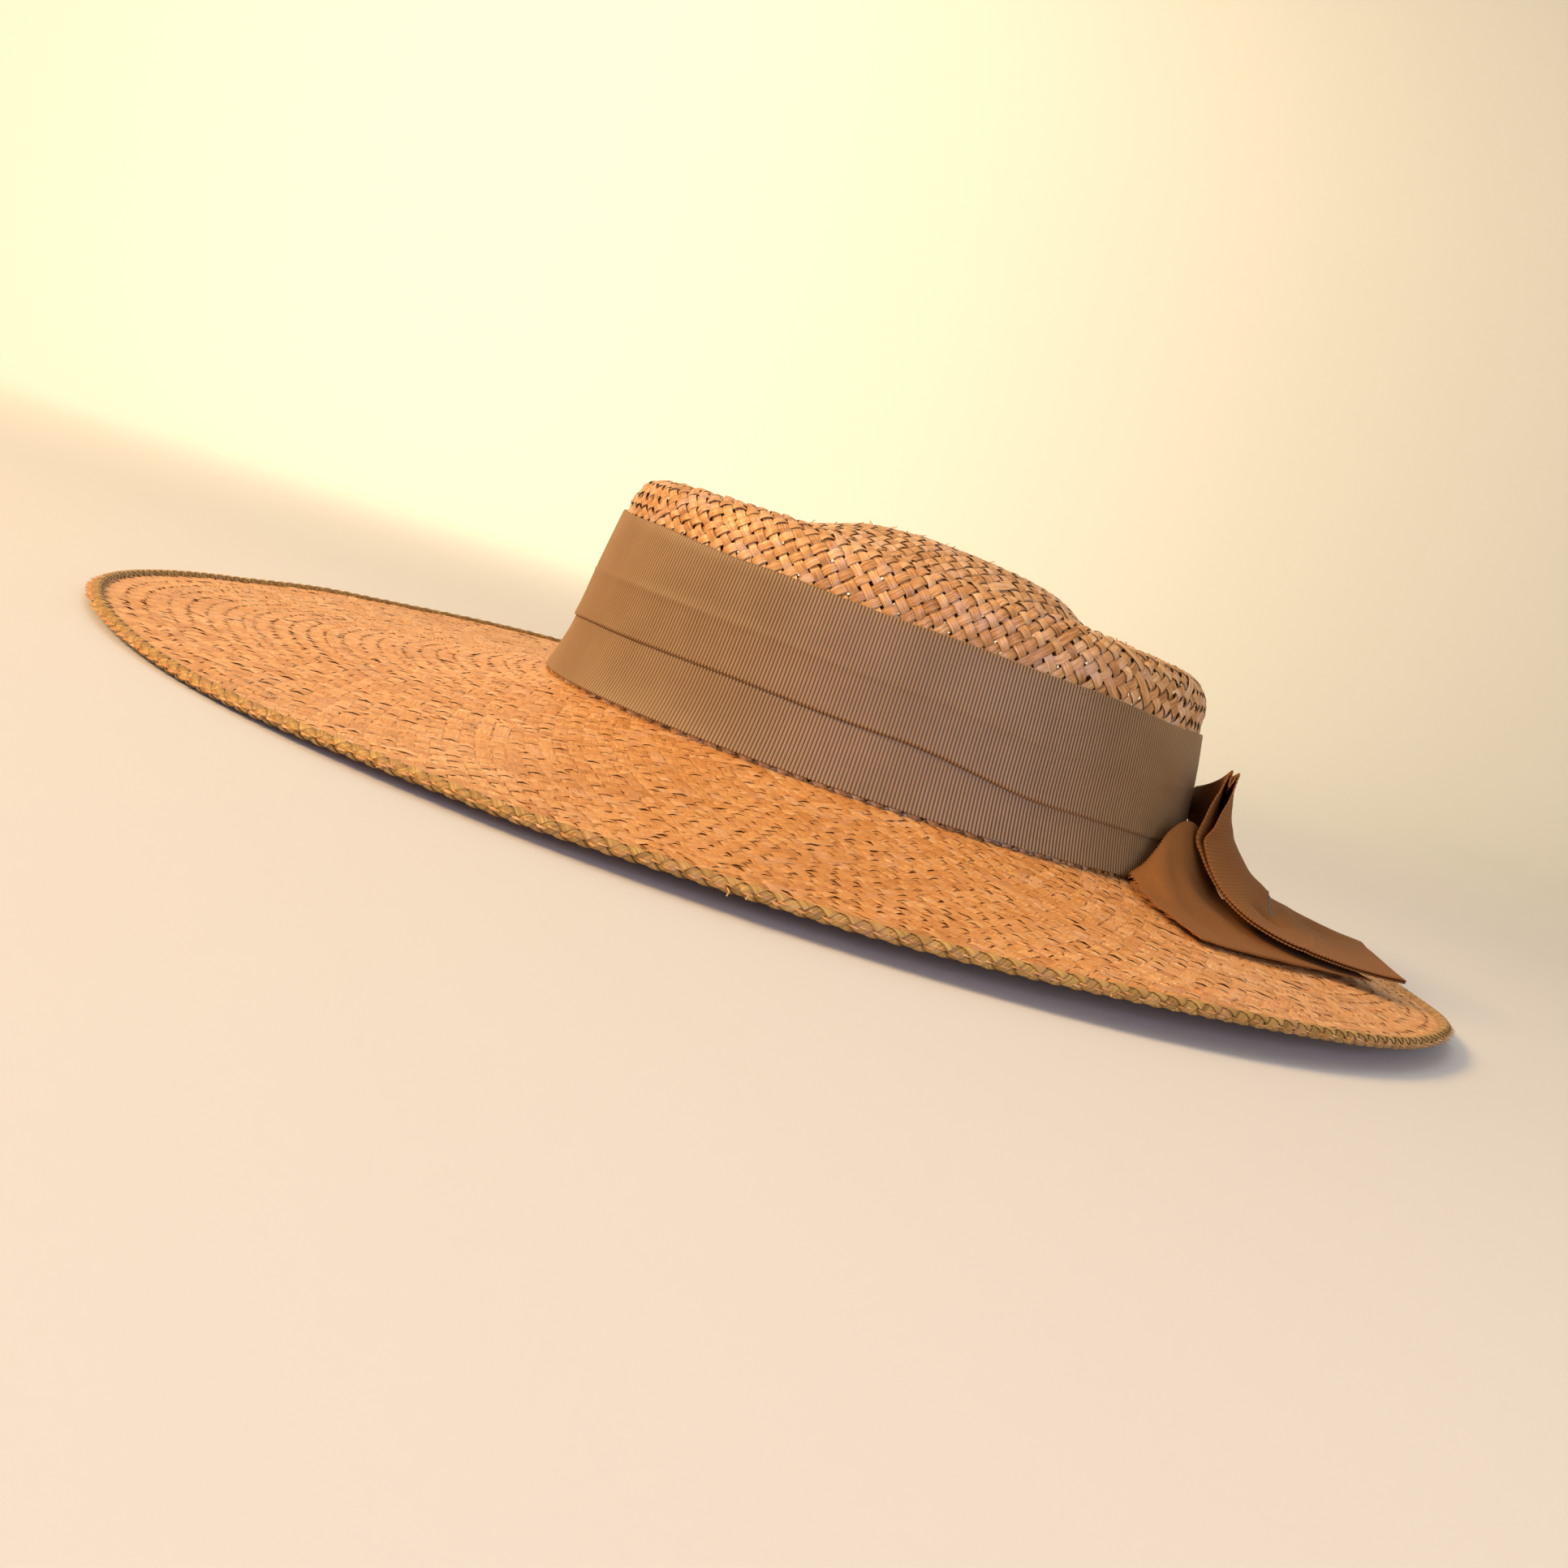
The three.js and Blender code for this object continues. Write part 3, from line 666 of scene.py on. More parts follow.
def hoop(levels, scallop_row=0):
    """A place function for a hoop. Each level is (height by angle, how far out)."""

    def place(along, across, groove):
        angle = even_angle(2 * np.pi * along, 97.5, 77.5)
        row = np.round(across * (len(levels) - 1)).astype(int)
        heights = np.stack([height(angle) for height, _ in levels])
        outs = np.array([out for _, out in levels])
        height = heights[row, np.arange(len(row))]
        scallop = np.where(row == scallop_row, 0.36, 0) - np.where(row == len(levels) - 1, 0.25, 0)
        height = height + np.where(groove, scallop, 0)
        return beside_wall(angle, height, outs[row] - np.where(groove, RIB_DEPTH, 0))

    return place


def between(low, high, part, more=0.0):
    return lambda angle: mirrored(low, angle) * (1 - part) + mirrored(high, angle) * part + more


# %% Roll the two layers of the band
UPPER_LEVELS = [  # from one line to another, how far on the way, mm more, and mm out from the wall
    (BAND_FOLD, BAND_CREASE, 0, 0.9, 1.0),
    (BAND_FOLD, BAND_CREASE, 0, 0.1, 1.1),
    (BAND_FOLD, BAND_CREASE, 0, -0.15, 1.35),
    (BAND_FOLD, BAND_CREASE, 0, 0.1, 1.6),
    (BAND_FOLD, BAND_CREASE, 0, 0.9, 1.6),
    (BAND_FOLD, BAND_CREASE, 0.25, 0.0, 1.35),
    (BAND_FOLD, BAND_CREASE, 0.5, 0.0, 1.25),
    (BAND_FOLD, BAND_CREASE, 0.8, 0.0, 1.25),
    (BAND_FOLD, BAND_CREASE, 1.0, -0.6, 1.28),
    (BAND_FOLD, BAND_CREASE, 1.0, 0.0, 1.42),
    (BAND_CREASE, BAND_TOP, 0.0, 0.6, 1.26),
    (BAND_CREASE, BAND_TOP, 0.2, 0.0, 1.2),
    (BAND_CREASE, BAND_TOP, 0.5, 0.0, 1.1),
    (BAND_CREASE, BAND_TOP, 0.8, 0.0, 1.05),
    (BAND_CREASE, BAND_TOP, 1.0, -0.5, 1.0),
    (BAND_CREASE, BAND_TOP, 1.0, 0.0, 0.85),
]
upper_levels = [(between(low, high, part, more), out) for low, high, part, more, out in UPPER_LEVELS]


def band_foot(angle):
    return oval_point(CROWN[FOOT], angle)[..., 2] - 0.25


lower_levels = [
    (band_foot, 1.25),
    (lambda angle: band_foot(angle) + 0.6, 1.2),
    (lambda angle: band_foot(angle) * 0.65 + mirrored(BAND_FOLD, angle) * 0.35, 1.05),
    (lambda angle: band_foot(angle) * 0.3 + mirrored(BAND_FOLD, angle) * 0.7, 1.0),
    (lambda angle: mirrored(BAND_FOLD, angle) - 0.6, 0.9),
    (lambda angle: mirrored(BAND_FOLD, angle) + 1.2, 0.75),
]
band_upper = ribbon_piece(
    "band_upper_ribbon", BAND_RIBS * 3, len(upper_levels) - 1, hoop(upper_levels, 2), True, RIBBON
)
band_lower = ribbon_piece(
    "band_lower_ribbon", BAND_RIBS * 3, len(lower_levels) - 1, hoop(lower_levels), True, RIBBON
)

# %% [markdown]
# ## The bow
#
# The bow is the same kind of ribbon, cut wider: a flattened loop over a loose tail. Cloth
# simulation could lay it down, but it would not fall into one known shape. So each ribbon is
# drawn as five smooth lines, from the near selvedge to the far one, and a smooth cross line
# runs through all five. The loop goes round twice: down one layer, round the fold and back up
# the other, with a notched top between them. In both tables, a few far points differ from the
# solids' own by up to 3.6 mm.

# %% Rows of the bow, each from the near selvedge to the far one
LOOP = np.array(
    [
        [
            [48.5, 122.6, 51.4], [37, 124.1, 48.6], [25, 125.3, 46.2],
            [12, 126.2, 43.6], [-1, 126.8, 41.3],
        ],
        [
            [48.6, 122, 44.9], [38, 125.6, 43.4], [26, 127.3, 41.5],
            [13, 127.1, 39.1], [0, 126.5, 36.6],
        ],
        [
            [49, 121.1, 40.7], [38.5, 126.4, 39.2], [27.5, 129.1, 37.7],
            [15, 128.8, 35.3], [2, 127.9, 32.7],
        ],
        [
            [49.6, 120.4, 35.9], [39.5, 127, 35.3], [28.5, 131.2, 34.2],
            [16.5, 131.8, 32.4], [4, 130.3, 29.7],
        ],
        [
            [50.4, 119.3, 31.1], [40, 128.2, 32], [29, 133.2, 31.5],
            [17.5, 135.1, 29.9], [6, 133.6, 27.2],
        ],
        [
            [52, 121.1, 27.4], [40.5, 130.7, 29.1], [29, 135.9, 29.2],
            [18, 137.3, 28], [8, 134.6, 25.2],
        ],
        [
            [54.6, 124.4, 22.8], [42, 134.6, 24.8], [30.5, 139.9, 25.4],
            [20, 141.2, 24.6], [11, 138.2, 22.4],
        ],
        [
            [57.6, 129.2, 18.4], [44, 139.2, 20], [32, 144.5, 21],
            [23, 145.3, 21.2], [15, 142.3, 20.4],
        ],
        [
            [62, 135.3, 15.2], [48, 143, 15.8], [36.5, 147.3, 16.8],
            [27, 148.7, 18], [19, 147.1, 19.1],
        ],
        [
            [66, 141.7, 13.5], [53, 146.9, 13.2], [41, 150.4, 13.8],
            [30, 152.4, 15.3], [20, 152.8, 17.9],
        ],
        [
            [69, 148.6, 12.6], [57, 152.5, 12.3], [44, 155.6, 12.9],
            [31, 157.7, 14.4], [18, 158.5, 16.7],
        ],
        [
            [66, 163.1, 11.5], [52, 165.5, 11.4], [38, 167.6, 11.9],
            [25, 168.8, 13], [13, 169.2, 14.8],
        ],
        [[59, 176.3, 10.8], [45, 178, 10.7], [32, 179.1, 11.1], [20, 179.7, 12], [7, 180.5, 13]],
        [
            [50, 189, 10.5], [38, 189.7, 10.6], [26, 190.4, 10.9],
            [14, 190.9, 11.3], [2, 191.4, 11.9],
        ],
    ]
)
LOOP_HALF_GAP = np.array([1.5, 2.1, 2.1, 1.05] + [0.65] * 10)
TAIL = np.array(
    [
        [
            [100.6, 115, 10.75], [91, 110.3, 11.85], [81, 106.5, 12.7],
            [71.5, 103.3, 14.3], [62, 101.1, 16.9],
        ],
        [
            [98.4, 119.8, 10.35], [88, 115.9, 11.45], [78.5, 111.9, 12.8],
            [68, 107.7, 15.6], [59.5, 104.1, 19.9],
        ],
        [
            [95.6, 125, 10.05], [85, 120.9, 11.25], [75.5, 115.7, 12.8],
            [65.5, 109.9, 17.3], [57, 106.6, 24.5],
        ],
        [
            [93, 129.3, 9.95], [82.5, 124.4, 10.75], [73, 118.1, 12.4],
            [62.5, 111.6, 18.7], [53.5, 109.3, 30.4],
        ],
        [
            [90.8, 133.1, 9.85], [80, 128.1, 10.65], [70, 121.2, 12.3],
            [59, 113.7, 19.7], [49.5, 113.2, 34.1],
        ],
        [
            [88.6, 136.4, 9.75], [77.5, 131.5, 10.35], [67, 124.7, 12.2],
            [55.5, 118, 20], [45, 117.2, 34.3],
        ],
        [
            [86, 140.4, 9.75], [74.5, 135.8, 10.05], [63, 130, 11.9],
            [51, 123.7, 17.4], [41, 121, 32],
        ],
        [[81.5, 145.9, 9.4], [70, 142.2, 9.5], [58, 137.2, 11], [47, 130.9, 15.1], [38, 125.5, 26]],
        [[73, 155.7, 9.1], [64, 152.3, 9.5], [55, 146, 10.9], [46, 136.8, 13], [37, 129.1, 16.5]],
        [
            [64, 167.1, 8.7], [55, 163.1, 9.2], [46, 157, 10.5],
            [38.5, 148.3, 12.6], [31, 140.1, 14.2],
        ],
        [[56, 177.8, 8.5], [47, 173.7, 8.9], [38, 168, 9.6], [31, 159.8, 11], [24, 150, 12.7]],
    ]
)


# %% Smooth ribbon lines
def spaced_line(points, samples=60):
    """A centripetal Catmull-Rom line through the points, evenly spaced along its length."""
    before = 2 * points[0] - points[1]
    after = 2 * points[-1] - points[-2]
    p = np.vstack([before, points, after])
    line = []
    for i in range(1, len(p) - 2):
        x0, x1, x2, x3 = p[i - 1 : i + 3]
        d0, d1, d2 = (math.sqrt(np.linalg.norm(b - a)) for a, b in ((x0, x1), (x1, x2), (x2, x3)))
        t1 = ((x1 - x0) / d0 - (x2 - x0) / (d0 + d1) + (x2 - x1) / d1) * d1
        t2 = ((x2 - x1) / d1 - (x3 - x1) / (d1 + d2) + (x3 - x2) / d2) * d1
        t = np.linspace(0, 1, samples, endpoint=i == len(p) - 3)[:, None]
        line.append(
            x1 + t1 * t + (3 * (x2 - x1) - 2 * t1 - t2) * t**2 + (2 * (x1 - x2) + t1 + t2) * t**3
        )
    line = np.vstack(line)
    length = np.concatenate([[0], np.cumsum(np.linalg.norm(np.diff(line, axis=0), axis=1))])
    return line, length


def ribbon_surface(rows):
    """A function of the parts along and across a ribbon, and the length of its middle line."""
    lines = [spaced_line(rows[:, column]) for column in range(5)]

    def at(along, across):
        near, second, mid, fourth, far = (
            np.stack([np.interp(along * length[-1], length, line[:, k]) for k in range(3)], axis=-1)
            for line, length in lines
        )
        columns = np.stack([2 * near - second, near, second, mid, fourth, far, 2 * far - fourth])
        place = np.clip(across * 4, 0, 3.9999)
        low = place.astype(int)
        t = (place - low)[..., None]
        a, b, c, d = (
            np.take_along_axis(columns, (low + k)[None, ..., None], axis=0)[0] for k in range(4)
        )
        bent = (2 * a - 5 * b + 4 * c - d) * t**2 + (3 * b - a - 3 * c + d) * t**3
        return (2 * b + (c - a) * t + bent) / 2

    return at, lines[2][1][-1]


def surface_frame(at, along, across):
    """The unit directions along the ribbon and out of it."""
    a, b = np.clip(along - 0.002, 0, 1), np.clip(along + 0.002, 0, 1)
    c, d = np.clip(across - 0.01, 0, 1), np.clip(across + 0.01, 0, 1)
    forward = unit(at(b, across) - at(a, across))
    sideways = unit(at(along, d) - at(along, c))
    return forward, unit(np.cross(forward, sideways))


loop_at, loop_length = ribbon_surface(LOOP)
tail_at, tail_length = ribbon_surface(TAIL)
print("the loop's middle line is", round(loop_length), "mm and the tail's", round(tail_length), "mm")


# %% Ribs, fold and puckers
BOW_RIB = 1.0  # mm
BOW_RIB_DEPTH = 0.03
BOW_THICK = 0.42
LAYER_CLOSER = 0.22  # mm that each layer stands closer to the other than in the solids
FOLD_LENGTH = 2.2  # mm of ribbon round the fold at the brim
SCALLOP = 0.55  # mm that the selvedge draws in at each groove
TOP_LENGTH = 9.0  # of ribbon over the top of the loop
TOP_NOTCH = 3.6  # how deep it dips between the two layers
LOOP_RIBS = int(round((2 * loop_length + FOLD_LENGTH + TOP_LENGTH) / BOW_RIB))
TAIL_RIBS = int(round(tail_length / BOW_RIB))

# Where the stitches pull the loop in: (part along, part across, height in mm, width along,
# width across, lean). The lean makes a long fold run from one selvedge towards the other.
# Under the folds, out of sight, the loop's lower layer presses into the tail.
PUCKERS = [
    (0.42, 0.66, 2.2, 0.05, 0.20, 0.30),
    (0.47, 0.40, -3.0, 0.025, 0.15, 0.45),
    (0.55, 0.78, 1.6, 0.035, 0.16, 0.2),
    (0.33, 0.90, -2.6, 0.025, 0.2, 0.0),
    (0.78, 0.86, -1.4, 0.16, 0.07, 0.0),
    (0.64, 0.30, 0.5, 0.015, 0.3, 0.1),
]


def puckered(part, across):
    """How far the ribbon stands out of its smooth surface beside the stitches."""
    height = np.zeros(part.shape)
    for along_at, across_at, rise, wide_along, wide_across, lean in PUCKERS:
        off = across - across_at
        near = np.exp(-(((part - along_at - lean * off) / wide_along) ** 2))
        height += rise * near * np.exp(-((off / wide_across) ** 2))
    return height


# %% Lay the loop and the tail
def loop_gap(part):
    return np.interp(part, np.linspace(0, 1, len(LOOP_HALF_GAP)), LOOP_HALF_GAP - LAYER_CLOSER)


def loop_place(along, across, groove):
    """Down one layer, round the fold at the brim, up the other, and over the notched top."""
    end_at = loop_length + FOLD_LENGTH
    back_at = 2 * loop_length + FOLD_LENGTH
    total = back_at + TOP_LENGTH
    at = along * total
    part = np.interp(at, [0, loop_length, end_at, back_at], [0, 1, 1, 0])
    bend = np.interp(at, [0, loop_length, end_at, back_at, total], [0, 0, 1, 1, 0])
    gap = loop_gap(part)
    forward, out = surface_frame(loop_at, part, across)
    side = np.cos(np.pi * bend)
    lift = puckered(part, across) + gap * side - np.where(groove, BOW_RIB_DEPTH, 0.0) * side
    round_end = gap * np.sin(np.pi * bend)
    notched = TOP_NOTCH * np.sin(np.pi * bend) ** 6 - 1.1 * np.sin(2 * np.pi * bend) ** 2
    ahead = np.where(at < end_at, round_end, notched)
    points = loop_at(part, across) + out * lift[:, None] + forward * ahead[:, None]
    return scalloped(points, across, groove, loop_at, part)


def scalloped(points, across, groove, at, part):
    """Pulls the selvedge in at each groove, which leaves a small scallop at each rib."""
    sideways = unit(at(part, np.ones_like(part)) - at(part, np.zeros_like(part)))
    ends = (across < 0.001) * 1.0 - (across > 0.999)
    return points + sideways * (np.where(groove, SCALLOP, 0.0) * ends)[:, None]


def tail_place(along, across, groove):
    forward, out = surface_frame(tail_at, along, across)
    points = tail_at(along, across)
    points = points - out * np.where(groove, BOW_RIB_DEPTH, 0.0)[:, None]
    ragged = 0.5 * np.sin(23 * across) + 0.4 * np.sin(61 * across + 1)
    points = points + forward * np.where(along < 0.001, ragged, 0.0)[:, None]
    return scalloped(points, across, groove, tail_at, along)


bow_loop = ribbon_piece("bow_loop_ribbon", LOOP_RIBS * 3, 26, loop_place, True, BOW_THICK, 0.0)
bow_tail = ribbon_piece("bow_tail_ribbon", TAIL_RIBS * 3, 26, tail_place, False, BOW_THICK, 0.0)

# %% [markdown]
# ## Threads
#
# The bow is held by a few stitches of grey thread, its cut end is frayed, and bits of thread
# show under the band. Straw also breaks, so short ends stand out of the crown's top and the
# rim. A curve with a bevel would make such a thread, but hundreds of them are lighter as one
# mesh of thin six-sided tubes, each along a short bent line.

# %% A tube along every line
def thread_tubes(name, lines, thickness):
    """Joins many short tubes into one piece. Each line is a list of points in mm."""
    bm = bmesh.new()
    for line in lines:
        line = np.array(line, dtype=float)
        rings = []
        for i, point in enumerate(line):
            way = unit(line[min(i + 1, len(line) - 1)] - line[max(i - 1, 0)])
            side = unit(np.cross(way, [0.3, 0.2, 1.0]))
            top = np.cross(side, way)
            ring = []
            for turn in np.linspace(0, 2 * np.pi, 6, endpoint=False):
                place = point + (side * math.cos(turn) + top * math.sin(turn)) * thickness / 2
                ring.append(bm.verts.new(place * MM))
            rings.append(ring)
        for low, high in zip(rings[:-1], rings[1:]):
            for k in range(6):
                bm.faces.new((low[k], low[(k + 1) % 6], high[(k + 1) % 6], high[k]))
        bm.faces.new(rings[0][::-1])
        bm.faces.new(rings[-1])
    bmesh.ops.recalc_face_normals(bm, faces=bm.faces)
    mesh = bpy.data.meshes.new(name)
    bm.to_mesh(mesh)
    bm.free()
    print(name, "has", len(lines), "threads")
    return new_piece(name, mesh)


# %% Sew a stitch into the loop
def on_loop(part, across, lift):
    """A point on the outer face of the loop's upper layer."""
    part, across = np.array([float(part)]), np.array([float(across)])
    forward, out = surface_frame(loop_at, part, across)
    height = lift + puckered(part, across) + loop_gap(part) + BOW_THICK / 2
    return (loop_at(part, across) + out * height[:, None])[0]


def stitch(part, across, length_along, length_across):
    """A stitch that comes out of the ribbon, lies on it and goes in again."""
    line = []
    for share, lift in ((0, -0.35), (0.15, 0.05), (0.5, 0.16), (0.85, 0.05), (1, -0.35)):
        line.append(on_loop(part + length_along * share, across + length_across * share, lift))
    return line


# %% Sew the stitches and fray the cut end
STITCH_THREAD = 0.3  # mm
FRAY_THREAD = 0.2
stitches = []
for row in range(7):
    across_at = 0.54 + 0.02 * row + 0.01 * rng.standard_normal()
    part_at = 0.457 - 0.004 * row + 0.008 * rng.standard_normal()
    stitches.append(stitch(part_at, across_at, 0.03, 0.02 * rng.standard_normal()))
stitches.append(stitch(0.40, 0.70, 0.028, 0.01))
stitches.append(stitch(0.41, 0.67, 0.026, 0.02))

frays = []
for _ in range(130):
    across_at = rng.random()
    start = tail_at(np.array([0.004]), np.array([across_at]))[0]
    ahead = tail_at(np.array([0.03]), np.array([across_at]))[0]
    way = unit(start - ahead)
    reach = 0.8 + 2.2 * rng.random() ** 2
    stray = rng.standard_normal(3) * 0.35
    stray[2] = abs(stray[2]) * 0.6
    frays.append([ahead, start + way * 0.4, start + way * reach + stray * reach])
for _ in range(16):
    angle = np.radians(104 + 16 * rng.random())
    foot = beside_wall(angle, band_foot(angle) + 0.1, np.array(1.5))
    way = rng.standard_normal(3) * [1.0, 1.6, 0.25]
    stitches.append([foot - way * 0.6, foot + [0.5, 0, 0.25], foot + way * 0.6])
bow_stitches = thread_tubes("bow_stitches", stitches, STITCH_THREAD)
bow_frays = thread_tubes("bow_frayed_threads", frays, FRAY_THREAD)

# %% Let some straw ends stand out
LOOSE_STRAW = 0.32  # mm
loose = []
for _ in range(150):
    down = np.array([CROWN_DOWN[CREST] * math.sqrt(rng.random())])
    angle = np.array([2 * np.pi * rng.random()])
    start = (crown_point(down, angle) + crown_normal(down, angle) * -0.3)[0]
    way = rng.standard_normal(3) * [1.3, 1.3, 0.2] + [0, 0, 0.75]
    loose.append([start, start + way * 0.6, start + way + [0, 0, 0.15]])
for turn, reach in ((0.248, 5.5), (0.251, 3.5), (0.19, 2.0), (0.31, 2.2), (0.42, 2.0), (0.09, 1.8)):
    start = rim_point(np.array([2 * np.pi * turn]), np.array([-0.3]), np.array([0.0]))[0]
    way = unit(np.array([1.0, 0.6 * rng.standard_normal(), -0.05])) * reach
    loose.append([start, start + way * 0.5 + [0, 0.4, 0.1], start + way])
loose_ends = thread_tubes("loose_straw_ends", loose, LOOSE_STRAW)

# %% [markdown]
# ## Colours and nodes
#
# Colours are picked as hex codes, which are made for screens. Blender counts in linear light,
# so one function turns them round. A material is a small net of nodes, and a helper adds each
# node with its settings, its numbers and its links in one call.

# %% Colours and a helper for nodes
def srgb(code):
    """A hex colour as linear light."""
    values = [int(code[i : i + 2], 16) / 255 for i in (1, 3, 5)]
    linear = [v / 12.92 if v <= 0.04045 else ((v + 0.055) / 1.055) ** 2.4 for v in values]
    return (*linear, 1.0)


def new_material(name):
    material = bpy.data.materials.new(name)
    material.use_nodes = True
    return material, material.node_tree, material.node_tree.nodes["Principled BSDF"]


def add_node(tree, kind, values=None, links=None, **settings):
    """Adds a node, with its settings, its inputs' values and the sockets that feed it."""
    node = tree.nodes.new(kind)
    for name, value in settings.items():
        setattr(node, name, value)
    for name, value in (values or {}).items():
        node.inputs[name].default_value = value
    for name, socket in (links or {}).items():
        tree.links.new(socket, node.inputs[name])
    return node


def set_ramp(node, stops):
    ramp = node.color_ramp
    while len(ramp.elements) < len(stops):
        ramp.elements.new(0.5)
    for element, (place, colour) in zip(ramp.elements, stops):
        element.position = place
        element.color = srgb(colour)


# %% [markdown]
# ## Straw
#
# Straw is split plant stem, dried and pressed flat. It has fine fibres along each splint, every
# splint has a shade of its own, and its edges are darker: partly browner cut edges, partly
# painted shade of the gaps between splints. It could be one woven texture, but here each splint
# is a real strip with its own coordinates, so the fibres follow the strip. The noise is
# stretched: it changes 2.9 times in a millimetre across the splint and 0.14 times along it. A
# second noise, in patches about 9 mm wide, paints paler places: a painted highlight, the sheen
# of the straw.

# %% Woven straw
def straw_material(name, shades, sheen_patch, edge_and_gap_shade, roughness):
    """patch is (colour, greatest share), and edge is (colour, mm from the middle, share)."""
    material, tree, shader = new_material(name)
    splint = add_node(tree, "ShaderNodeAttribute", attribute_name="splint")
    parts = add_node(tree, "ShaderNodeSeparateXYZ", links={"Vector": splint.outputs["Vector"]})
    fibre_at = add_node(
        tree,
        "ShaderNodeVectorMath",
        {1: (0.14, 2.9, 40.0)},
        {0: splint.outputs["Vector"]},
        operation="MULTIPLY",
    )
    fibre = add_node(
        tree,
        "ShaderNodeTexNoise",
        {"Scale": 1.0, "Detail": 3.0, "Roughness": 0.65},
        {"Vector": fibre_at.outputs[0]},
    )
    own = add_node(tree, "ShaderNodeMath", {1: 0.42}, {0: parts.outputs["Z"]}, operation="MULTIPLY")
    fine = add_node(
        tree,
        "ShaderNodeMapRange",
        {"From Min": 0.36, "From Max": 0.64, "To Min": 0.0, "To Max": 0.6},
        {"Value": fibre.outputs["Fac"]},
    )
    tone = add_node(
        tree, "ShaderNodeMath", None, {0: own.outputs[0], 1: fine.outputs[0]}, operation="ADD"
    )
    ramp = add_node(tree, "ShaderNodeValToRGB", links={"Fac": tone.outputs[0]})
    set_ramp(ramp, shades)
    coords = add_node(tree, "ShaderNodeTexCoord")
    # Paler patches about 9 mm wide are a painted highlight: the straw's sheen painted into its colour.
    sheen_patches = add_node(
        tree,
        "ShaderNodeTexNoise",
        {"Scale": 110.0, "Detail": 3.0, "Roughness": 0.7},
        {"Vector": coords.outputs["Object"]},
    )
    share = add_node(
        tree,
        "ShaderNodeMapRange",
        {"From Min": 0.52, "From Max": 0.7, "To Min": 0.0, "To Max": sheen_patch[1]},
        {"Value": sheen_patches.outputs["Fac"]},
    )
    wear_and_sheen = add_node(
        tree,
        "ShaderNodeMixRGB",
        {"Color2": srgb(sheen_patch[0])},
        {"Fac": share.outputs[0], "Color1": ramp.outputs["Color"]},
    )
    # The edges of each splint are darkened: partly browner cut edges, partly painted shade of the gaps
    # between splints.
    side = add_node(tree, "ShaderNodeMath", None, {0: parts.outputs["Y"]}, operation="ABSOLUTE")
    rim = add_node(
        tree,
        "ShaderNodeMapRange",
        {"From Min": edge_and_gap_shade[1], "From Max": edge_and_gap_shade[1] + 0.4, "To Min": 0.0, "To Max": edge_and_gap_shade[2]},
        {"Value": side.outputs[0]},
    )
    final = add_node(
        tree,
        "ShaderNodeMixRGB",
        {"Color2": srgb(edge_and_gap_shade[0])},
        {"Fac": rim.outputs[0], "Color1": wear_and_sheen.outputs[0]},
    )
    tree.links.new(final.outputs[0], shader.inputs["Base Color"])
    bump = add_node(
        tree,
        "ShaderNodeBump",
        {"Strength": 0.7, "Distance": 0.00015},
        {"Height": fibre.outputs["Fac"]},
    )
    tree.links.new(bump.outputs["Normal"], shader.inputs["Normal"])
    shader.inputs["Roughness"].default_value = roughness
    shader.inputs["IOR"].default_value = 1.5
    return material


# Woven, faded by the sun and close: a warm, nearly matt gold with little between the strips.
# Its paler patches are painted highlight, and its slightly darker edges are browner cut edges
# and painted shade.
brim_straw = straw_material(
    "woven_brim_straw",
    [(0.0, "#a0662e"), (0.3, "#c38343"), (0.55, "#d49652"), (0.8, "#dda868"), (1.0, "#eac698")],
    ("#d6a884", 0.5),
    ("#8a4c1e", 1.5, 0.35),
    0.48,
)
# Woven and pressed to shape: smoother, with a dull shine and dark gaps at its edges, which are
# browner cut edges and painted shade. More of it is paler patches of painted highlight.
crown_straw = straw_material(
    "woven_crown_straw",
    [(0.0, "#80532a"), (0.3, "#b27c42"), (0.55, "#ca9659"), (0.8, "#d8ab74"), (1.0, "#e8caa6")],
    ("#cfae96", 0.75),
    ("#5e3314", 1.1, 0.7),
    0.38,
)
# Plaited and handled most: browner and greener, and matt. Paler patches of painted highlight,
# and darker edges: browner cut edges and painted shade of the gaps.
plaited_straw = straw_material(
    "plaited_straw",
    [(0.0, "#6c4e1e"), (0.3, "#936d2f"), (0.6, "#b08740"), (1.0, "#cfa964")],
    ("#b5855c", 0.6),
    ("#4a2e12", 1.0, 0.55),
    0.5,
)


for straw in (brim_straw, crown_straw, plaited_straw):
    print(straw.name, "uses", len(straw.node_tree.nodes), "nodes")

# %% [markdown]
# ## Ribbon and thread
#
# Grosgrain is woven of dull rayon or cotton. The thick weft stands up in ribs that catch the
# light, and the grooves between them are dark. The ribs are real, so an attribute on the mesh
# says what is rib and what is groove, and the shader mixes two colours by it: the grooves' darker
# colour is painted shade. Large soft patches, about 22 mm wide, show where the ribbon has faded.

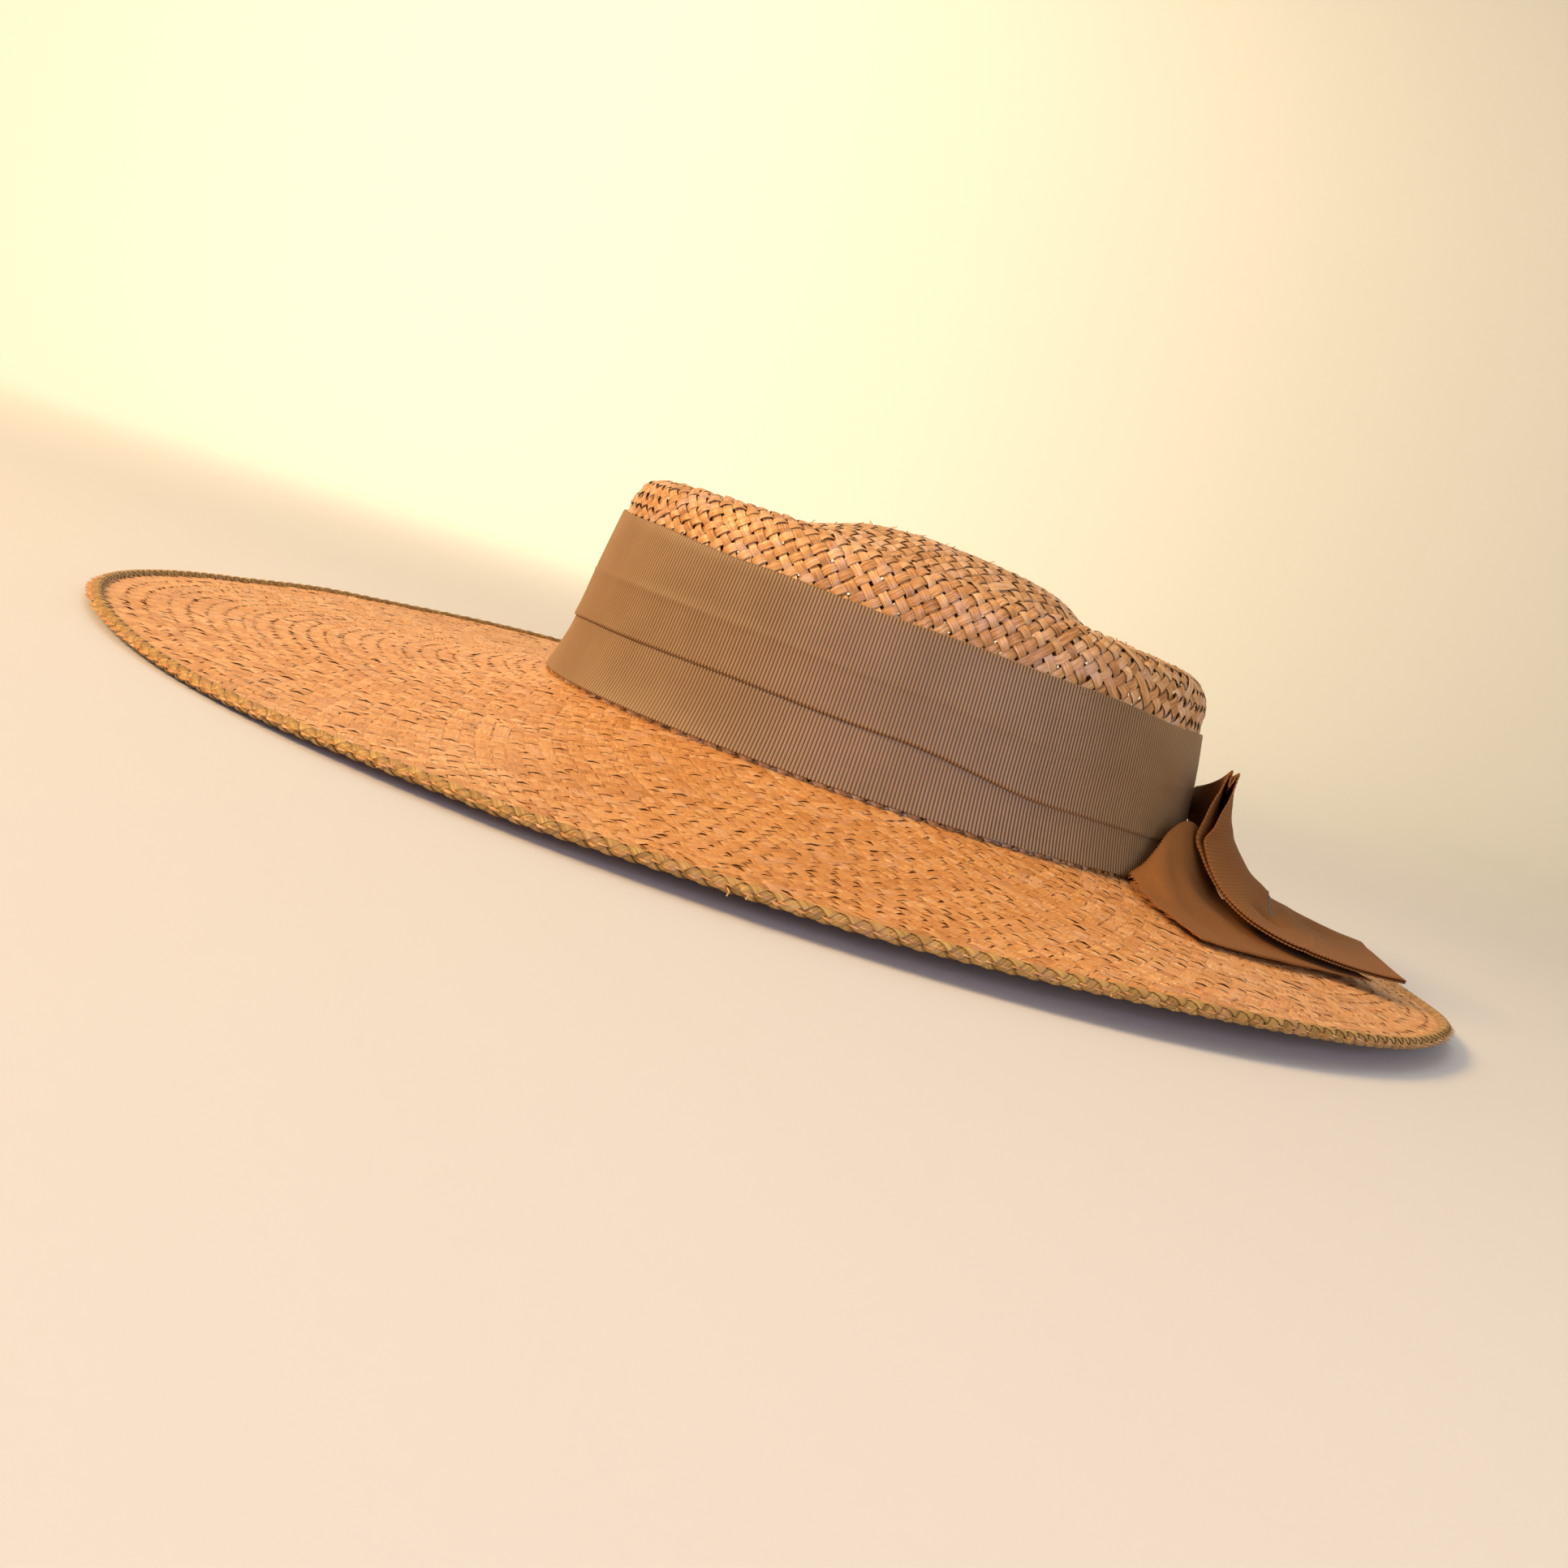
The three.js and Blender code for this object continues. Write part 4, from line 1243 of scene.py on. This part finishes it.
# %% Grosgrain ribbon
def ribbon_material(name, rib_colour, groove_shade_colour, worn_colour, worn_share, roughness, sheen):
    material, tree, shader = new_material(name)
    rib = add_node(tree, "ShaderNodeAttribute", attribute_name="rib")
    coords = add_node(tree, "ShaderNodeTexCoord")
    wear_and_sheen = add_node(
        tree,
        "ShaderNodeTexNoise",
        {"Scale": 45.0, "Detail": 4.0, "Roughness": 0.6},
        {"Vector": coords.outputs["Object"]},
    )
    share = add_node(
        tree,
        "ShaderNodeMapRange",
        {"From Min": 0.42, "From Max": 0.7, "To Min": 0.0, "To Max": worn_share},
        {"Value": wear_and_sheen.outputs["Fac"]},
    )
    body = add_node(
        tree,
        "ShaderNodeMixRGB",
        {"Color1": srgb(rib_colour), "Color2": srgb(worn_colour)},
        {"Fac": share.outputs[0]},
    )
    # The grooves get the groove colour: painted shade between the ribs.
    final = add_node(
        tree,
        "ShaderNodeMixRGB",
        {"Color1": srgb(groove_shade_colour)},
        {"Fac": rib.outputs["Fac"], "Color2": body.outputs[0]},
    )
    tree.links.new(final.outputs[0], shader.inputs["Base Color"])
    shader.inputs["Roughness"].default_value = roughness
    shader.inputs["IOR"].default_value = 1.5
    shader.inputs["Sheen Weight"].default_value = sheen
    shader.inputs["Sheen Roughness"].default_value = 0.4
    return material


# Woven with thick ribs: light lines on nearly black ones, with a soft shine. The near black of
# the grooves is painted shade.
band_grosgrain = ribbon_material(
    "ribbed_grosgrain_ribbon", "#937247", "#1c130c", "#a38156", 0.7, 0.48, 0.1
)
# The same weave, finer and unpressed: a plain brown without shine. Its grooves are a little
# darker, in painted shade.
bow_grosgrain = ribbon_material(
    "matt_bow_ribbon", "#804f18", "#784a14", "#8c5c24", 0.6, 0.85, 0.0
)


def plain_material(name, colour, roughness):
    material, _, shader = new_material(name)
    shader.inputs["Base Color"].default_value = srgb(colour)
    shader.inputs["Roughness"].default_value = roughness
    shader.inputs["IOR"].default_value = 1.5
    return material


# %% Thread and loose straw
# Spun cotton, unravelled ribbon yarn and split straw are too thin to show a pattern.
grey_thread = plain_material("grey_cotton_thread", "#706a66", 0.7)
frayed_thread = plain_material("frayed_ribbon_thread", "#a8621f", 0.7)
loose_straw = plain_material("loose_straw", "#d2a060", 0.5)
print("threads:", grey_thread.name, frayed_thread.name, loose_straw.name)

# %% [markdown]
# ## Say what each piece is
#
# Nothing on a hat moves by itself, so every piece rides on the root body. The woven, plaited
# and sewn pieces take the place of the plain solids. Threads and loose ends are extra, so they
# replace nothing.

# %% Pieces, slots and what they replace
dressed = [
    (crown_wall, crown_straw, "straw", ["crown"]),
    (crown_top, crown_straw, "straw", ["crown"]),
    (brim_inner, brim_straw, "straw", ["brim"]),
    (brim_outer, brim_straw, "straw", ["brim"]),
    (brim_border, brim_straw, "straw", ["brim"]),
    (rim_plait, plaited_straw, "edge_straw", ["brim_edge"]),
    (band_upper, band_grosgrain, "grosgrain", ["band_upper"]),
    (band_lower, band_grosgrain, "grosgrain", ["band_lower"]),
    (bow_loop, bow_grosgrain, "bow_grosgrain", ["bow_loop"]),
    (bow_tail, bow_grosgrain, "bow_grosgrain", ["bow_tail"]),
    (bow_stitches, grey_thread, None, []),
    (bow_frays, frayed_thread, None, []),
    (loose_ends, loose_straw, None, []),
]
for piece, material, slot, nodes in dressed:
    piece.data.materials.append(material)
    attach(piece, "root")
    if nodes:
        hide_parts(*nodes)
print(len(dressed), "pieces ride on the root body")


# %% [markdown]
# ## The floor
#
# A photographer's backdrop has no corner. A flat floor that bends up into a wall, spun round
# the hat, is the same from every side. A profile and one spin make it.

# %% A pale studio bowl
FLOOR_RADIUS = 1.6  # metres
BEND_RADIUS = 1.0
WALL_TOP = 2.6


def studio():
    bm = bmesh.new()
    profile = [(0.0, 0.0), (FLOOR_RADIUS, 0.0)]
    for step in range(1, 13):
        turn = math.pi / 2 * step / 12
        out, up = math.sin(turn), 1 - math.cos(turn)
        profile.append((FLOOR_RADIUS + BEND_RADIUS * out, BEND_RADIUS * up))
    profile.append((FLOOR_RADIUS + BEND_RADIUS, WALL_TOP))
    line = [bm.verts.new((x, 0, z)) for x, z in profile]
    edges = [bm.edges.new(pair) for pair in zip(line[:-1], line[1:])]
    bmesh.ops.spin(
        bm, geom=line + edges, cent=(0, 0, 0), axis=(0, 0, 1), dvec=(0, 0, 0),
        angle=2 * math.pi, steps=96, use_merge=True, use_duplicate=False,
    )
    bmesh.ops.remove_doubles(bm, verts=bm.verts, dist=1e-5)
    bmesh.ops.recalc_face_normals(bm, faces=bm.faces)
    mesh = bpy.data.meshes.new("studio_floor")
    bm.to_mesh(mesh)
    bm.free()
    mesh.polygons.foreach_set("use_smooth", [True] * len(mesh.polygons))
    return new_piece("studio_floor", mesh)


floor = studio()
# Matt paint, a cool pale grey that the warm light turns to cream.
floor.data.materials.append(plain_material("painted_studio_floor", "#d3d6d8", 0.9))
print("the floor is flat for", FLOOR_RADIUS, "m round the hat")

# %% [markdown]
# ## Light
#
# Warm light comes from the front left of the hat and from a little above, soft enough that the
# weave's shadows keep their shape. A weak cool light from the wearer's left turns the band
# greyer towards the back. One light is for the wall alone, and points away from the hat.


# %% Lights
def area_light(name, place, size, power, colour, aim=(0, 0, 0.04)):
    data = bpy.data.lights.new(name, "AREA")
    data.shape = "DISK"
    data.size = size
    data.energy = power
    data.color = srgb(colour)[:3]
    light = bpy.data.objects.new(name, data)
    light.location = place
    way = Vector(aim) - Vector(place)
    light.rotation_euler = way.to_track_quat("-Z", "Y").to_euler()
    light.visible_camera = False
    bpy.context.collection.objects.link(light)
    return light


area_light("key_light", (0.64, -1.6, 1.15), 0.62, 46, "#ffcf8e")
area_light("top_light", (0.0, -0.2, 1.5), 1.0, 4, "#fff3e6")
area_light("cool_fill", (1.35, 0.3, 0.35), 0.7, 9, "#d0d8ff")
area_light("wall_light", (-1.2, -0.5, 1.3), 0.9, 28, "#ffe4b0", (-2.6, -0.6, 0.3))
ROOM_LIGHT = 0.42
world = bpy.data.worlds.new("soft_room")
bpy.context.scene.world = world
world.use_nodes = True
world.node_tree.nodes["Background"].inputs["Color"].default_value = srgb("#fff4e6")
world.node_tree.nodes["Background"].inputs["Strength"].default_value = ROOM_LIGHT
bpy.context.scene.view_settings.view_transform = "Standard"
print("lights:", [light.name for light in bpy.data.lights])
